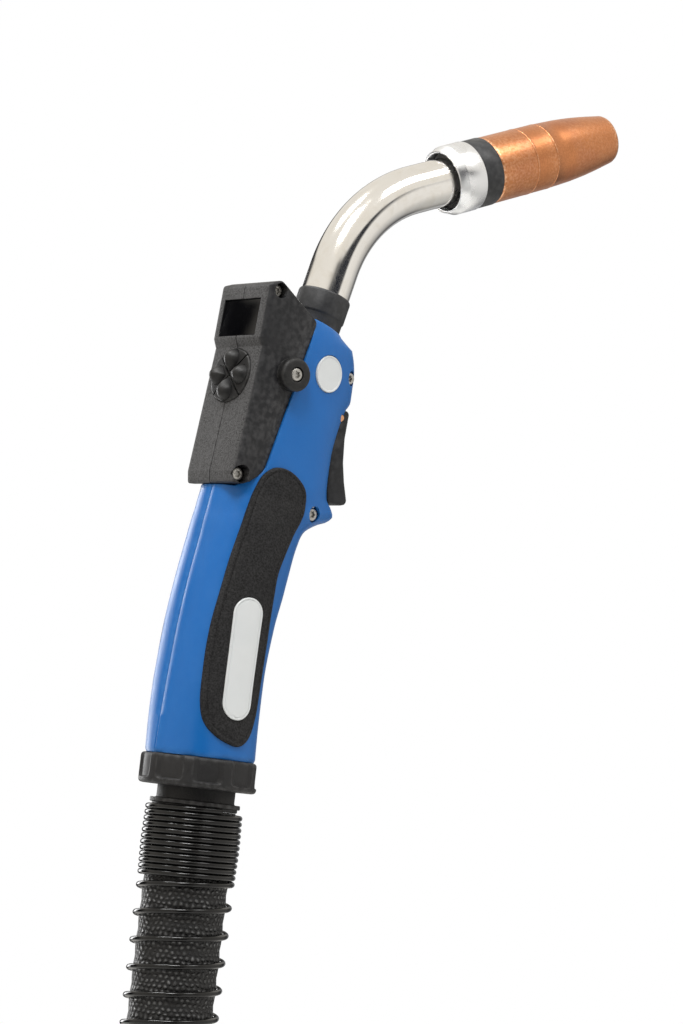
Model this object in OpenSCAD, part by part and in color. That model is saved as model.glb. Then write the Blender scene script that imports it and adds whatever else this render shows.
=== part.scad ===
// MIG welding torch: nozzle, swan neck, handle, control pod, hose and rear connector.
// The hose axis is Z. +X is the nozzle and trigger side, Y is across the handle.

/* [Neck] */
// Outer diameter of the neck tube
neck_d = 20.5; // [18:0.5:22]
// Bore of the neck tube
neck_bore_d = 14; // [8:0.5:15]
// Lean of the straight neck from the hose axis, degrees
neck_lean = 14.5; // [10:0.5:17]
// Height where the neck axis crosses the hose axis
neck_cross_z = 4.6; // [2:0.2:8]
// Straight neck length from the crossing to the bend
neck_straight = 151; // [148:1:170]
// Bend radius of the neck
neck_bend_r = 60; // [45:1:80]
// Bend angle of the neck, degrees
neck_bend = 53; // [40:1:65]
// Straight neck length from the bend to the nozzle
neck_end = 16; // [12:1:30]

/* [Nozzle] */
// Outer diameter of the gas nozzle at its rear
nozzle_d = 29; // [28:0.5:34]
// Outer diameter of the gas nozzle at its mouth
nozzle_tip_d = 21.4; // [20.5:0.1:24]
// Bore of the nozzle mouth
nozzle_mouth_d = 17; // [15:0.5:17.5]
// Length of the copper nozzle
nozzle_len = 68.5; // [65:0.5:80]
// Length of the insulator
insulator_len = 9.4; // [7:0.2:12]
// Length of the plated ring
ring_len = 13.6; // [12:0.2:18]
// Outer diameter of the plated ring
ring_d = 30; // [29.5:0.5:34]
// Diameter of the head that the nozzle slides on
head_d = 22.4; // [22:0.1:23]
// Diameter of the contact tip
tip_d = 10; // [8:0.5:10]
// Wire bore of the contact tip
wire_bore_d = 1.4; // [1:0.1:2]
// How far the contact tip sits back from the nozzle mouth
tip_recess = 7; // [5:0.5:9]

/* [Handle] */
// Height of the handle's foot
handle_foot_z = -57.7; // [-58:0.1:-57]
// Half width of the handle at the grip
grip_half_w = 21; // [20:0.1:23]
// Half width of the handle at its head
head_half_w = 17.9; // [17:0.1:18.3]
// Depth of the handle, front to back, at the grip
grip_depth = 43; // [41:0.5:46]
// Wall of the handle shells
shell_wall = 2.6; // [2.2:0.1:3]
// Height of the finger hook under the trigger
hook_z = 48; // [46:0.5:49]
// Distance along the neck axis to the top of the handle
handle_top = 126; // [124:0.5:129]
// Thickness of the handle's top wall
top_wall = 3; // [2:0.5:5]
// Thickness of the rubber grip pads
pad_rise = 1.2; // [0.8:0.1:1.6]
// Length of the plates on the grip pads
plate_len = 50; // [40:1:56]
// Width of the plates on the grip pads
plate_w = 14; // [10:0.5:15]
// Diameter of the round disc on the head
badge_d = 15.2; // [12:0.2:16]

/* [Trigger] */
// Width of the trigger
trigger_w = 13; // [11:0.5:14]
// Clearance at each side of the trigger
trigger_gap = 0.5; // [0.3:0.1:0.8]
// Diameter of the trigger pin
trigger_pin_d = 3; // [2.5:0.5:3.5]
// Length of the microswitch
switch_len = 13; // [11:0.5:14]
// Height of the microswitch
switch_h = 6; // [5.5:0.1:6.4]

/* [Control pod] */
// Width of the pod
pod_w = 37; // [36.8:0.2:40]
// Depth of the pod at its bottom
pod_depth_low = 15.2; // [14.5:0.1:16]
// Depth of the pod at its top
pod_depth_high = 24.4; // [23.8:0.1:25]
// Height of the pod's key face
pod_face_h = 52.6; // [50:0.2:54]
// Height of the display hood
hood_h = 26; // [24:0.5:28]
// Wall of the pod shells
pod_wall = 2; // [1.6:0.1:2.2]
// Radius of the pod's rear corners
pod_corner_r = 4.5; // [3:0.5:6]
// Width of the display window
window_w = 26.5; // [22:0.5:28]
// Height of the display window
window_h = 15.6; // [12:0.2:17]
// Width of the key pad
keypad_w = 27; // [24:0.5:28]
// Height of the key pad
keypad_h = 23; // [20:0.5:23.5]
// Travel of the keys
key_travel = 0.8; // [0.5:0.1:1]
// Diameter of the side bumpers
bumper_d = 14; // [12:0.5:15]
// Height of the side bumpers
bumper_h = 5; // [3:0.5:7]

/* [Fasteners] */
// Shank diameter of the screws
screw_d = 3; // [2.5:0.1:3.2]
// Head diameter of the screws
screw_head_d = 5.6; // [5:0.1:6]
// Head height of the screws
screw_head_h = 2; // [1.5:0.1:2.4]

/* [Rear end] */
// Diameter of the rear collar
collar_d = 48.4; // [47.5:0.1:52]
// Height of the rear collar
collar_h = 12; // [10:0.5:14]
// Number of flutes round the collar
collar_flutes = 12; // [8:1:14]
// Outer diameter of the cable socket
socket_d = 32; // [30:0.5:34]
// Length of the cable socket below the collar
socket_len = 7; // [5:0.5:10]
// Diameter of the socket's flange
flange_d = 37; // [36.5:0.5:40]
// Thickness of the socket's flange
flange_h = 2; // [1.5:0.1:3]
// Wire diameter of the bend spring
spring_wire_d = 1.9; // [1.6:0.1:1.9]
// Pitch of the spring's close turns
spring_close_pitch = 2.36; // [2.36:0.02:2.8]
// Number of the spring's close turns
spring_close_turns = 13; // [10:1:16]
// Pitch of the spring's open turns
spring_open_pitch = 11.2; // [9:0.2:13]
// Number of the spring's open turns
spring_open_turns = 7; // [5:1:8]

/* [Hose] */
// Outer diameter of the hose
hose_d = 34.5; // [30:0.5:34.5]
// Radius of the coil's outermost turn, to the middle of the hose
coil_r = 224; // [222:1:232]
// Step between neighbouring turns of the coil beyond the hose diameter
coil_gap = 2; // [1.5:0.1:4]

/* [Connector] */
// Diameter of the connector body
plug_d = 44; // [42:0.5:48]
// Length of the connector body
plug_len = 82; // [70:1:100]
// Outer diameter of the coupling nut
nut_d = 52; // [50:0.5:56]
// Length of the coupling nut
nut_len = 26; // [22:1:32]
// Diameter of the power pin
power_pin_d = 17; // [15:0.1:18]
// Length of the power pin past the connector body
power_pin_len = 38; // [32:1:45]

/* [Hidden] */
$fn = 48;
eps = 0.01;
seat_gap = 0.1;

// ---------------------------------------------------------------- frames
module at_neck(s = 0) {
    translate([0, 0, neck_cross_z]) rotate([0, neck_lean, 0]) translate([0, 0, s]) children();
}

module at_nozzle(t = 0) {
    at_neck(neck_straight) translate([neck_bend_r * (1 - cos(neck_bend)), 0, neck_bend_r * sin(neck_bend)])
        rotate([0, neck_bend, 0]) translate([0, 0, neck_end + t]) children();
}

// A shape drawn in the X-Z plane, given its thickness along Y, from y0 to y1.
module side_slab(y0, y1) {
    translate([0, y1, 0]) rotate([90, 0, 0]) linear_extrude(y1 - y0) children();
}

// A cylinder along +Y from y0 to y1 at (x, z).
module cross_pin(x, z, r, y0, y1, fn = 32) {
    translate([x, y0, z]) rotate([-90, 0, 0]) cylinder(r = r, h = y1 - y0, $fn = fn);
}

// ---------------------------------------------------------------- nozzle
copper_z = ring_len + insulator_len;
nozzle_end_z = copper_z + nozzle_len;
slide_gap = 0.05;
head_start = 6;
head_len = 24;
ring_bore_d = neck_d + 4.5;
shell_bore_d = nozzle_d - 4.6;
tip_end_z = nozzle_end_z - tip_recess;
tip_len = 30;
diffuser_z = head_start + head_len;
diffuser_d = 18;
tip_seat_z = tip_end_z - tip_len;
diffuser_len = tip_seat_z - diffuser_z + 8;
mouth_len = 16;

module gas_nozzle() {
    color([0.72, 0.42, 0.26]) at_nozzle() rotate_extrude($fn = 96) polygon([
        [shell_bore_d / 2, copper_z], [nozzle_d / 2 - 0.4, copper_z], [nozzle_d / 2, copper_z + 0.6],
        [nozzle_d / 2 - 0.2, copper_z + nozzle_len * 0.28],
        [nozzle_d / 2 - 0.5, copper_z + nozzle_len * 0.45],
        [nozzle_d / 2 - 1.5, copper_z + nozzle_len * 0.74], [nozzle_tip_d / 2 + 0.9, nozzle_end_z - 5],
        [nozzle_tip_d / 2, nozzle_end_z - 1], [nozzle_tip_d / 2 - 0.8, nozzle_end_z],
        [nozzle_mouth_d / 2, nozzle_end_z], [nozzle_mouth_d / 2, nozzle_end_z - mouth_len],
        [shell_bore_d / 2, nozzle_end_z - mouth_len - 12]
    ]);
}

module nozzle_insulator() {
    color([0.12, 0.12, 0.13]) at_nozzle(ring_len) difference() {
        cylinder(d = ring_d - 0.5, h = insulator_len, $fn = 96);
        translate([0, 0, -1]) cylinder(r = head_d / 2 + slide_gap, h = insulator_len + 2, $fn = 96);
    }
}

module nozzle_ring() {
    color([0.82, 0.82, 0.84]) at_nozzle() rotate_extrude($fn = 96) polygon([
        [head_d / 2 + slide_gap, head_start], [ring_bore_d / 2, head_start - 1], [ring_bore_d / 2, 0.6],
        [ring_bore_d / 2 + 0.6, 0], [ring_d / 2 - 1.4, 0], [ring_d / 2 - 0.4, 0.5], [ring_d / 2, 1.8],
        [ring_d / 2, ring_len], [head_d / 2 + slide_gap, ring_len]
    ]);
}

module neck_head() {
    color([0.75, 0.62, 0.35]) at_nozzle() difference() {
        union() {
            translate([0, 0, head_start]) cylinder(d = head_d, h = head_len, $fn = 96);
            translate([0, 0, diffuser_z]) cylinder(d = 12, h = 6);
        }
        translate([0, 0, head_start - 1]) cylinder(r = neck_fit_r, h = 13, $fn = 64);
        translate([0, 0, head_start]) cylinder(d = 7, h = head_len + 10);
    }
}

module gas_diffuser() {
    color([0.78, 0.6, 0.3]) at_nozzle() difference() {
        translate([0, 0, diffuser_z]) cylinder(d = diffuser_d, h = diffuser_len, $fn = 64);
        translate([0, 0, diffuser_z - 1]) cylinder(d = 12.04, h = 7);
        translate([0, 0, diffuser_z - 1]) cylinder(d = 7, h = diffuser_len + 2);
        translate([0, 0, tip_seat_z]) cylinder(d = 8.04, h = 20);
        for (a = [0 : 60 : 300])
            rotate([0, 0, a]) translate([0, 0, diffuser_z + 10]) rotate([0, 90, 0])
                cylinder(d = 2.4, h = diffuser_d, $fn = 24);
    }
}

module contact_tip() {
    color([0.8, 0.48, 0.3]) at_nozzle() difference() {
        union() {
            translate([0, 0, tip_seat_z]) cylinder(d = 8, h = 8.5);
            translate([0, 0, tip_seat_z + 8]) cylinder(d = tip_d, h = tip_len - 12, $fn = 48);
            translate([0, 0, tip_end_z - 4]) cylinder(d1 = tip_d, d2 = tip_d - 3, h = 4, $fn = 48);
        }
        translate([0, 0, tip_seat_z - 1]) cylinder(d = wire_bore_d, h = tip_len + 2, $fn = 32);
    }
}

// ---------------------------------------------------------------- neck
block_d = 26;
block_start = 4;
block_len = 34;
block_seat = 14;
sleeve_d = neck_d + 1.9;
sleeve_len = 13;
sleeve_neck_d = neck_d + 1;
sleeve_foot = 6;

// The drawn ends are a hair thicker than the bend, which they lap over.
tube_lap = 0.8;
tube_step = 0.03;
neck_fit_r = neck_d / 2 + tube_step + 0.02;

// A straight stretch of the tube, open at both ends.
module straight_tube(len) {
    difference() {
        cylinder(r = neck_d / 2 + tube_step, h = len, $fn = 96);
        translate([0, 0, -1]) cylinder(r = neck_bore_d / 2 - tube_step, h = len + 2, $fn = 64);
    }
}

module neck_tube() {
    color([0.86, 0.85, 0.82]) union() {
        at_neck(block_start + block_len - block_seat)
            straight_tube(neck_straight - block_start - block_len + block_seat + tube_lap);
        at_neck(neck_straight) translate([neck_bend_r, 0, 0]) rotate([90, 0, 180])
            rotate_extrude(angle = neck_bend, $fn = 192) translate([neck_bend_r, 0]) difference() {
                circle(d = neck_d, $fn = 64);
                circle(d = neck_bore_d, $fn = 64);
            }
        at_nozzle(-neck_end - tube_lap) straight_tube(neck_end + tube_lap + head_start + 11);
    }
}

module neck_sleeve() {
    color([0.16, 0.16, 0.17]) at_neck(handle_top - sleeve_foot) difference() {
        union() {
            cylinder(d = sleeve_neck_d, h = sleeve_foot + 3.5, $fn = 96);
            translate([0, 0, sleeve_foot + 3]) cylinder(d = sleeve_d, h = sleeve_len - 3, $fn = 96);
        }
        translate([0, 0, -1]) cylinder(r = neck_fit_r, h = 40, $fn = 96);
    }
}

module neck_block() {
    color([0.78, 0.62, 0.34]) at_neck(block_start) difference() {
        cylinder(d = block_d, h = block_len, $fn = 64);
        translate([0, 0, block_len - block_seat]) cylinder(r = neck_fit_r, h = block_seat + 1, $fn = 96);
        translate([0, 0, -1]) cylinder(d = neck_bore_d, h = block_len, $fn = 64);
    }
}

// ---------------------------------------------------------------- handle body
// Each level: height, back, widest point, front, half width, roundness of the front.
half_d = grip_depth / 2;
LEVELS = [
    [handle_foot_z, -half_d - 0.5, 0, half_d + 0.5, grip_half_w + 0.5, 2],
    [-43, -half_d - 0.1, 0, half_d + 0.4, grip_half_w + 0.2, 2],
    [-24, -half_d + 1.2, 0.6, half_d + 0.8, grip_half_w, 2],
    [-2, -half_d + 3.4, 2, half_d + 3.2, grip_half_w, 2],
    [14, -half_d + 5.8, 5, half_d + 6.4, grip_half_w, 2],
    [24, -half_d + 7.6, 7.4, half_d + 9, grip_half_w, 2.1],
    [33, -half_d + 9.4, 9, half_d + 12, grip_half_w - 0.3, 2.1],
    [39, -half_d + 10.4, 10, half_d + 14.6, grip_half_w - 0.9, 2],
    [hook_z - 4.6, -half_d + 11.4, 10.4, half_d + 18.6, grip_half_w - 1.5, 2],
    [hook_z - 2.6, -half_d + 11.8, 10.6, half_d + 23, grip_half_w - 1.7, 2],
    [hook_z, -half_d + 12.3, 10.6, half_d + 25.6, grip_half_w - 2, 2],
    [hook_z + 2.8, -half_d + 12.8, 10.6, half_d + 24.4, grip_half_w - 2.4, 2.2],
    [hook_z + 6, -half_d + 13.4, 10.6, half_d + 21.8, head_half_w + 0.7, 2.6],
    [hook_z + 12, -half_d + 14.5, 11, half_d + 20.2, head_half_w + 0.4, 3],
    [hook_z + 24, -half_d + 16.5, 12, half_d + 20.6, head_half_w + 0.1, 3],
    [hook_z + 36, -half_d + 19, 13, half_d + 24, head_half_w, 2.6],
    [hook_z + 44, -half_d + 21.4, 14, half_d + 28.4, head_half_w, 2.2],
    [hook_z + 48.5, -half_d + 22.6, 15, half_d + 32.2, head_half_w, 2],
    [hook_z + 58, -half_d + 25, 18, half_d + 32.6, head_half_w, 2],
    [hook_z + 68, -half_d + 28, 22, half_d + 31, head_half_w - 0.2, 2],
    [hook_z + 72, -half_d + 29.4, 24, half_d + 28.6, head_half_w - 0.6, 2],
    [hook_z + 80, -half_d + 31.6, 25, half_d + 22, head_half_w - 1.6, 2]
];
HALF_STEPS = 10;
foot_wall = 3;
rib_low = 8;
rib_high = 30;
rib_t = 3;

function sign0(v) = v < 0 ? -1 : 1;
function section_point(lv, t, grow) =
    let (
        c = cos(t),
        reach = c > 0 ? lv[2] - lv[1] : lv[3] - lv[2],
        n = c > 0 ? 2 : lv[5]
    )
    [
        lv[2] - sign0(c) * (reach + grow) * pow(abs(c), 2 / n),
        (lv[4] + grow) * pow(max(sin(t), 0), 2 / n),
        lv[0]
    ];

// Half width of the handle at (x, z), on its outer face.
function lerp_level(z, i = 0) =
    i >= len(LEVELS) - 2 || z <= LEVELS[i + 1][0]
    ? let (f = (z - LEVELS[i][0]) / (LEVELS[i + 1][0] - LEVELS[i][0]))
        LEVELS[i] * (1 - f) + LEVELS[i + 1] * f
    : lerp_level(z, i + 1);
function half_width(x, z) =
    let (
        lv = lerp_level(z),
        reach = x < lv[2] ? lv[2] - lv[1] : lv[3] - lv[2],
        n = x < lv[2] ? 2 : lv[5],
        u = min(abs(x - lv[2]) / reach, 0.999)
    )
    lv[4] * pow(1 - pow(u, n), 1 / n);

// Height of the plane that stands square to the neck at s, over x.
function square_z(s, x) = neck_cross_z + (s - x * sin(neck_lean)) / cos(neck_lean);

// The half of space on one side of the parting plane, from `gap` outwards.
beyond = 250;
module half_space(side, gap = 0) {
    translate([-beyond, side > 0 ? gap : -gap - 2 * beyond, -beyond]) cube(2 * beyond);
}

// Half a ring of the form, from its back edge round to its front edge, both on the parting plane.
// A `top` above 0 tilts the ring into the plane square to the neck there.
function half_ring(lv, grow, side, top = 0) = [
    for (k = [0 : HALF_STEPS])
    let (p = section_point(lv, 180 * k / HALF_STEPS, grow))
    [p[0], k == 0 || k == HALF_STEPS ? 0 : side * p[1], top > 0 ? square_z(top, p[0]) : p[2]]
];

// All half rings of the given levels; the last one is closed square to the neck at `top`.
function half_rings(levels, grow, side, top = 0) = [
    for (i = [0 : len(levels) - 1]) each half_ring(levels[i], grow, side, i == len(levels) - 1 ? top : 0)
];

// Levels of the hollow inside the handle, between the foot wall and the top wall.
CAVITY_LEVELS = [
    for (i = [0 : len(LEVELS) - 1])
    let (rise = i == 0 ? foot_wall : i == len(LEVELS) - 2 ? -top_wall : 0)
    concat([LEVELS[i][0] + rise], [for (k = [1 : 5]) LEVELS[i][k]])
];

RING_N = HALF_STEPS + 1;
INNER = len(LEVELS) * RING_N;
LAST = INNER - RING_N;

// Faces between neighbouring half rings, out of the form, or into it where they start at INNER.
function ring_faces(from) = [
    for (r = [0 : len(LEVELS) - 2], k = [0 : HALF_STEPS - 1])
    let (a = from + r * RING_N + k, b = a + RING_N + 1)
    each from > 0 ? [[a, a + 1, b], [a, b, b - 1]] : [[a, b, a + 1], [a, b - 1, b]]
];

// The rims along the back and the front, on the parting plane.
function rim_faces() = [
    for (r = [0 : len(LEVELS) - 2])
    let (a = r * RING_N, b = a + HALF_STEPS)
    each [[a + RING_N, a, INNER + a, INNER + a + RING_N], [b, b + RING_N, INNER + b + RING_N, INNER + b]]
];

// A wall between two sets of half rings, with the faces that close its ends.
module half_wall(side, outer_rings, inner_rings, end_faces) {
    faces = concat(ring_faces(0), ring_faces(INNER), rim_faces(), end_faces);
    polyhedron(
        concat(outer_rings, inner_rings),
        side < 0 ? faces : [for (f = faces) [for (k = [len(f) - 1 : -1 : 0]) f[k]]],
        convexity = 8
    );
}

// One half of the hollow handle, closed at its foot and its top.
module half_cup(side) {
    half_wall(
        side,
        half_rings(LEVELS, 0, side, handle_top),
        half_rings(CAVITY_LEVELS, -shell_wall, side, handle_top - top_wall),
        concat(
            [
                for (k = [1 : HALF_STEPS - 1])
                each [
                    [0, k, k + 1], [INNER, INNER + k + 1, INNER + k], [LAST, LAST + k + 1, LAST + k],
                    [INNER + LAST, INNER + LAST + k, INNER + LAST + k + 1]
                ]
            ],
            [[0, HALF_STEPS, INNER + HALF_STEPS, INNER]],
            [[LAST + HALF_STEPS, LAST, INNER + LAST, INNER + LAST + HALF_STEPS]]
        )
    );
}

// One half of a skin round the handle, from the offset `low` to the offset `high`.
module half_skin(side, high, low) {
    half_wall(
        side,
        half_rings(LEVELS, high, side),
        half_rings(LEVELS, low, side),
        [
            for (k = [0 : HALF_STEPS - 1])
            let (a = LAST + k)
            each [[k, k + 1, INNER + k + 1, INNER + k], [a + 1, a, INNER + a, INNER + a + 1]]
        ]
    );
}

// ---------------------------------------------------------------- pod frame
pod_x = -6.8;
pod_z = 99;
pod_lean = 7.2;
pod_low_z = -40.5;
pod_foot_z = -45.4;
pod_step_z = pod_low_z + pod_face_h;
hood_low_z = pod_step_z + 3.3;
pod_top_z = pod_step_z + hood_h + 2.7;
hood_rise = 3;
hood_rise_low = 1.9;
pod_half_w = pod_w / 2;
window_z = pod_top_z - 8.8 - window_h;

module at_pod() {
    translate([pod_x, 0, pod_z]) rotate([0, pod_lean, 0]) children();
}

// Side outline of the pod in its own frame: x is depth, y is height up the key face.
module pod_outline() {
    polygon([
        [0, pod_low_z], [1.3, pod_foot_z], [5.5, pod_foot_z + 1], [8.6, pod_foot_z + 2.5],
        [pod_depth_low - 1.7, pod_low_z + 2.2], [pod_depth_low, pod_low_z + 5.4],
        [pod_depth_high, pod_top_z - 12.4], [pod_depth_high - 1, pod_top_z - 11.2],
        [2.6, pod_top_z], [-hood_rise, pod_top_z - 3], [-hood_rise_low, hood_low_z], [0, pod_step_z]
    ]);
}

// Plan outline of the pod: depth and width, with rounded rear corners.
module pod_plan(half_w, r) {
    back = -hood_rise - 0.4;
    translate([back + r, -half_w]) square([60, 2 * half_w]);
    translate([back, -half_w + r]) square([20, 2 * (half_w - r)]);
    for (s = [-1, 1])
        translate([back + r, s * (half_w - r)]) circle(r = r, $fn = 32);
}

module pod_form(less) {
    intersection() {
        side_slab(-pod_half_w + less, pod_half_w - less) offset(delta = -less) pod_outline();
        translate([less, 0, -80]) linear_extrude(180)
            pod_plan(pod_half_w - less, max(pod_corner_r - less, 1));
    }
}

module neck_cut(extra) {
    at_neck(block_start) cylinder(d = neck_d + 2 * extra, h = 160, $fn = 64);
}

pod_base_t = 2;
pod_base_back = 3;
screw_low = [4, pod_low_z - 0.4];
screw_high = [3, pod_top_z - 4.4];
bumper_x = 16.2;
bumper_z = 4.4;

// Hollow half of the pod. side = 1 is left, -1 is right.
module pod_half(side) {
    difference() {
        at_pod() difference() {
            union() {
                difference() {
                    pod_form(0);
                    pod_form(pod_wall);
                    pod_base_slot(0, 60);
                }
                for (p = [screw_low, screw_high])
                    intersection() {
                        cross_pin(p[0], p[1], 4, -pod_half_w + 1, pod_half_w - 1);
                        pod_form(0.5);
                    }
            }
            half_space(-side);
            display_opening();
            keypad_opening();
            for (p = [screw_low, screw_high]) {
                cross_pin(p[0], p[1], screw_d / 2 + 0.05, -pod_half_w - 1, pod_half_w - 4);
                cross_pin(p[0], p[1], screw_head_d / 2 + 0.4, -pod_half_w - 5, -pod_half_w + 4);
            }
            cross_pin(bumper_x, bumper_z, screw_d / 2 + 0.3, -pod_half_w - 1, pod_half_w + 1);
        }
        neck_cut(1);
    }
}

// The space in front of the base plate, where the handle's back wall stands.
module pod_base_slot(y_less, reach) {
    side_slab(-pod_half_w + pod_wall + y_less, pod_half_w - pod_wall - y_less) polygon([
        [pod_depth_low - pod_base_back, pod_low_z + 5.4], [pod_depth_high - pod_base_back, pod_top_z - 12.4],
        [pod_depth_high + reach, pod_top_z - 12.4], [pod_depth_low + reach, pod_low_z + 5.4]
    ]);
}

module display_opening() {
    translate([-10, -window_w / 2, window_z]) cube([20, window_w, window_h]);
}

module keypad_opening() {
    rotate([0, 90, 0]) scale_oval(keypad_w / 2 + 0.1, keypad_h / 2 + 0.1, -5, 8);
}

// An oval prism along the local Z, from z0 to z1, wide along Y and high along X.
module scale_oval(half_w, half_h, z0, z1) {
    r = half_h * 0.94;
    translate([0, 0, z0]) linear_extrude(z1 - z0) hull() {
        for (s = [-1, 1]) translate([0, s * (half_w - r)]) circle(r = r, $fn = 48);
        circle(r = half_h, $fn = 48);
    }
}

module pod_shell_left() { color([0.2, 0.2, 0.21]) pod_half(1); }
module pod_shell_right() { color([0.2, 0.2, 0.21]) pod_half(-1); }

module pod_base() {
    color([0.14, 0.14, 0.15]) difference() {
        at_pod() side_slab(-pod_half_w + pod_wall + seat_gap, pod_half_w - pod_wall - seat_gap) polygon([
            [pod_depth_low - pod_base_back - pod_base_t, pod_low_z + 6],
            [pod_depth_high - pod_base_back - pod_base_t, pod_top_z - 14.4],
            [pod_depth_high - pod_base_back, pod_top_z - 14.4],
            [pod_depth_low - pod_base_back, pod_low_z + 6]
        ]);
        neck_cut(1);
        at_pod() cross_pin(bumper_x, bumper_z, screw_d / 2 + 0.3, -pod_half_w, pod_half_w);
    }
}

module display_window() {
    color([0.02, 0.02, 0.03]) at_pod()
        translate([-hood_rise_low - 0.1, -window_w / 2 + seat_gap, window_z + seat_gap])
            cube([1.6, window_w - 2 * seat_gap, window_h - 2 * seat_gap]);
}

module display_board() {
    color([0.1, 0.35, 0.2]) at_pod() translate([3.4, -pod_half_w + pod_wall + 1, -14])
        cube([1.6, pod_w - 2 * pod_wall - 2, 14 + pod_step_z + 12]);
}

module keypad_mat() {
    color([0.07, 0.07, 0.08]) at_pod() difference() {
        rotate([0, 90, 0]) union() {
            scale_oval(keypad_w / 2, keypad_h / 2, -0.8, 3.4);
        }
        for (a = [0 : 90 : 270])
            rotate([a, 0, 0]) key_well();
    }
}

module key_well() {
    translate([-1, 0, key_offset]) rotate([0, 90, 0]) cylinder(d = key_d + 0.4, h = 3, $fn = 40);
}

key_d = 7.6;
key_offset = 6.7;
key_rise = 2.6;

// One key, at the angle a round the key pad: 0 is up and 90 is toward +Y.
module key_at(a) {
    color([0.15, 0.15, 0.16]) at_pod() rotate([-a, 0, 0]) translate([-key_rise, 0, key_offset])
        rotate([0, 90, 0]) {
            translate([0, 0, 1.2]) cylinder(d = key_d, h = key_rise + 0.6 - key_travel + 0.2, $fn = 40);
            cylinder(d1 = key_d - 2.4, d2 = key_d, h = 1.2, $fn = 40);
        }
}

module key_up() { key_at(0); }
module key_left() { key_at(90); }
module key_down() { key_at(180); }
module key_right() { key_at(270); }

// A screw along Y with its head on the -Y side; y_head is the outer face of the head.
module cross_screw(x, z, y_head, y_end) {
    difference() {
        union() {
            cross_pin(x, z, screw_head_d / 2, y_head, y_head + screw_head_h, 40);
            cross_pin(x, z, screw_d / 2, y_head + screw_head_h - eps, y_end, 32);
        }
        for (a = [0 : 60 : 120])
            translate([x, y_head - 1, z]) rotate([-90, 0, 0]) rotate([0, 0, a])
                translate([-0.35, -1.2, 0]) cube([0.7, 2.4, 2]);
    }
}

module pod_screws() {
    color([0.7, 0.7, 0.72]) at_pod() for (p = [screw_low, screw_high])
        cross_screw(p[0], p[1], -pod_half_w + 4 - screw_head_h - 0.4, pod_half_w - 4.6);
}

module bumper(side) {
    color([0.07, 0.07, 0.07]) at_pod() translate([bumper_x, side * (pod_half_w + 0.1), bumper_z])
        rotate([side > 0 ? -90 : 90, 0, 0]) difference() {
            rotate_extrude($fn = 64) polygon([
                [screw_d / 2 + 0.3, 0], [bumper_d / 2, 0], [bumper_d / 2, bumper_h - 1.4],
                [bumper_d / 2 - 0.5, bumper_h - 0.4], [bumper_d / 2 - 1.4, bumper_h],
                [screw_d / 2 + 0.3, bumper_h]
            ]);
            translate([0, 0, bumper_h - screw_head_h - 0.35])
                cylinder(r = screw_head_d / 2 + 0.3, h = 5, $fn = 48);
        }
}

module bumper_left() { bumper(1); }
module bumper_right() { bumper(-1); }

module bumper_screws() {
    color([0.75, 0.75, 0.77]) at_pod() for (s = [-1, 1])
        mirror([0, s > 0 ? 1 : 0, 0])
            cross_screw(bumper_x, bumper_z, -pod_half_w - bumper_h + 0.2, -pod_half_w + pod_wall + 5);
}

// ---------------------------------------------------------------- handle shells
slot_low_z = hook_z + 3.4;
slot_high_z = hook_z + 45.6;
slot_back_x = 27.6;
pivot_x = 44;
pivot_z = hook_z + 41;
hook_screw = [31.5, hook_z - 1.2];
nose_screw = [48.4, hook_z + 58];
screw_boss_d = 8;
foot_spigot_d = 40;
spigot_len = 9;

plate_t = 0.6;
skin_gap = 0.02;

// Outline of a grip pad on the side of the handle.
module pad_outline(grow = 0) {
    offset(r = grow, $fn = 24) offset(r = -3, $fn = 24) offset(r = 3, $fn = 24) polygon([
        [11.2, 63], [17, 60.6], [21.6, 56], [23, 50.5], [21.4, 42], [17.6, 35], [14.6, 27], [12.8, 20],
        [12.6, 10], [13.2, -10], [12.2, -28], [10.8, -40], [7.4, -48.5], [2.6, -52], [-4, -51],
        [-10.4, -47.5], [-14.6, -42.5], [-16.2, -36], [-17, -20], [-16.4, -4], [-14.8, 10], [-11.2, 25],
        [-7.2, 38], [-2.6, 52], [1, 59], [5.6, 62.4]
    ]);
}

module plate_outline(grow = 0) {
    offset(r = grow, $fn = 24) hull() {
        translate([0.6, -16.5 + plate_len / 2 - plate_w / 2]) circle(d = plate_w, $fn = 32);
        translate([0, -16.5 - plate_len / 2 + plate_w / 2]) circle(d = plate_w, $fn = 32);
    }
}

// A web round the neck block, standing square to the neck.
module neck_rib(s) {
    r = grip_half_w - shell_wall / 2;
    at_neck(s) linear_extrude(rib_t) hull() {
        translate([2.6, 0]) circle(r = r, $fn = 48);
        translate([4.4, 0]) circle(r = r, $fn = 48);
    }
}

module handle_half(side) {
    difference() {
        union() {
            half_cup(side);
            intersection() {
                union() {
                    translate([0, 0, handle_foot_z - spigot_len])
                        cylinder(d = foot_spigot_d, h = spigot_len + foot_wall - 1, $fn = 96);
                    neck_rib(rib_low);
                    neck_rib(rib_high);
                    for (p = [hook_screw, nose_screw])
                        cross_pin(
                            p[0], p[1], screw_boss_d / 2,
                            -half_width(p[0], p[1]) + shell_wall / 2, half_width(p[0], p[1]) - shell_wall / 2
                        );
                }
                half_space(side, seat_gap / 4);
            }
        }
        handle_cuts(side);
    }
}

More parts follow.
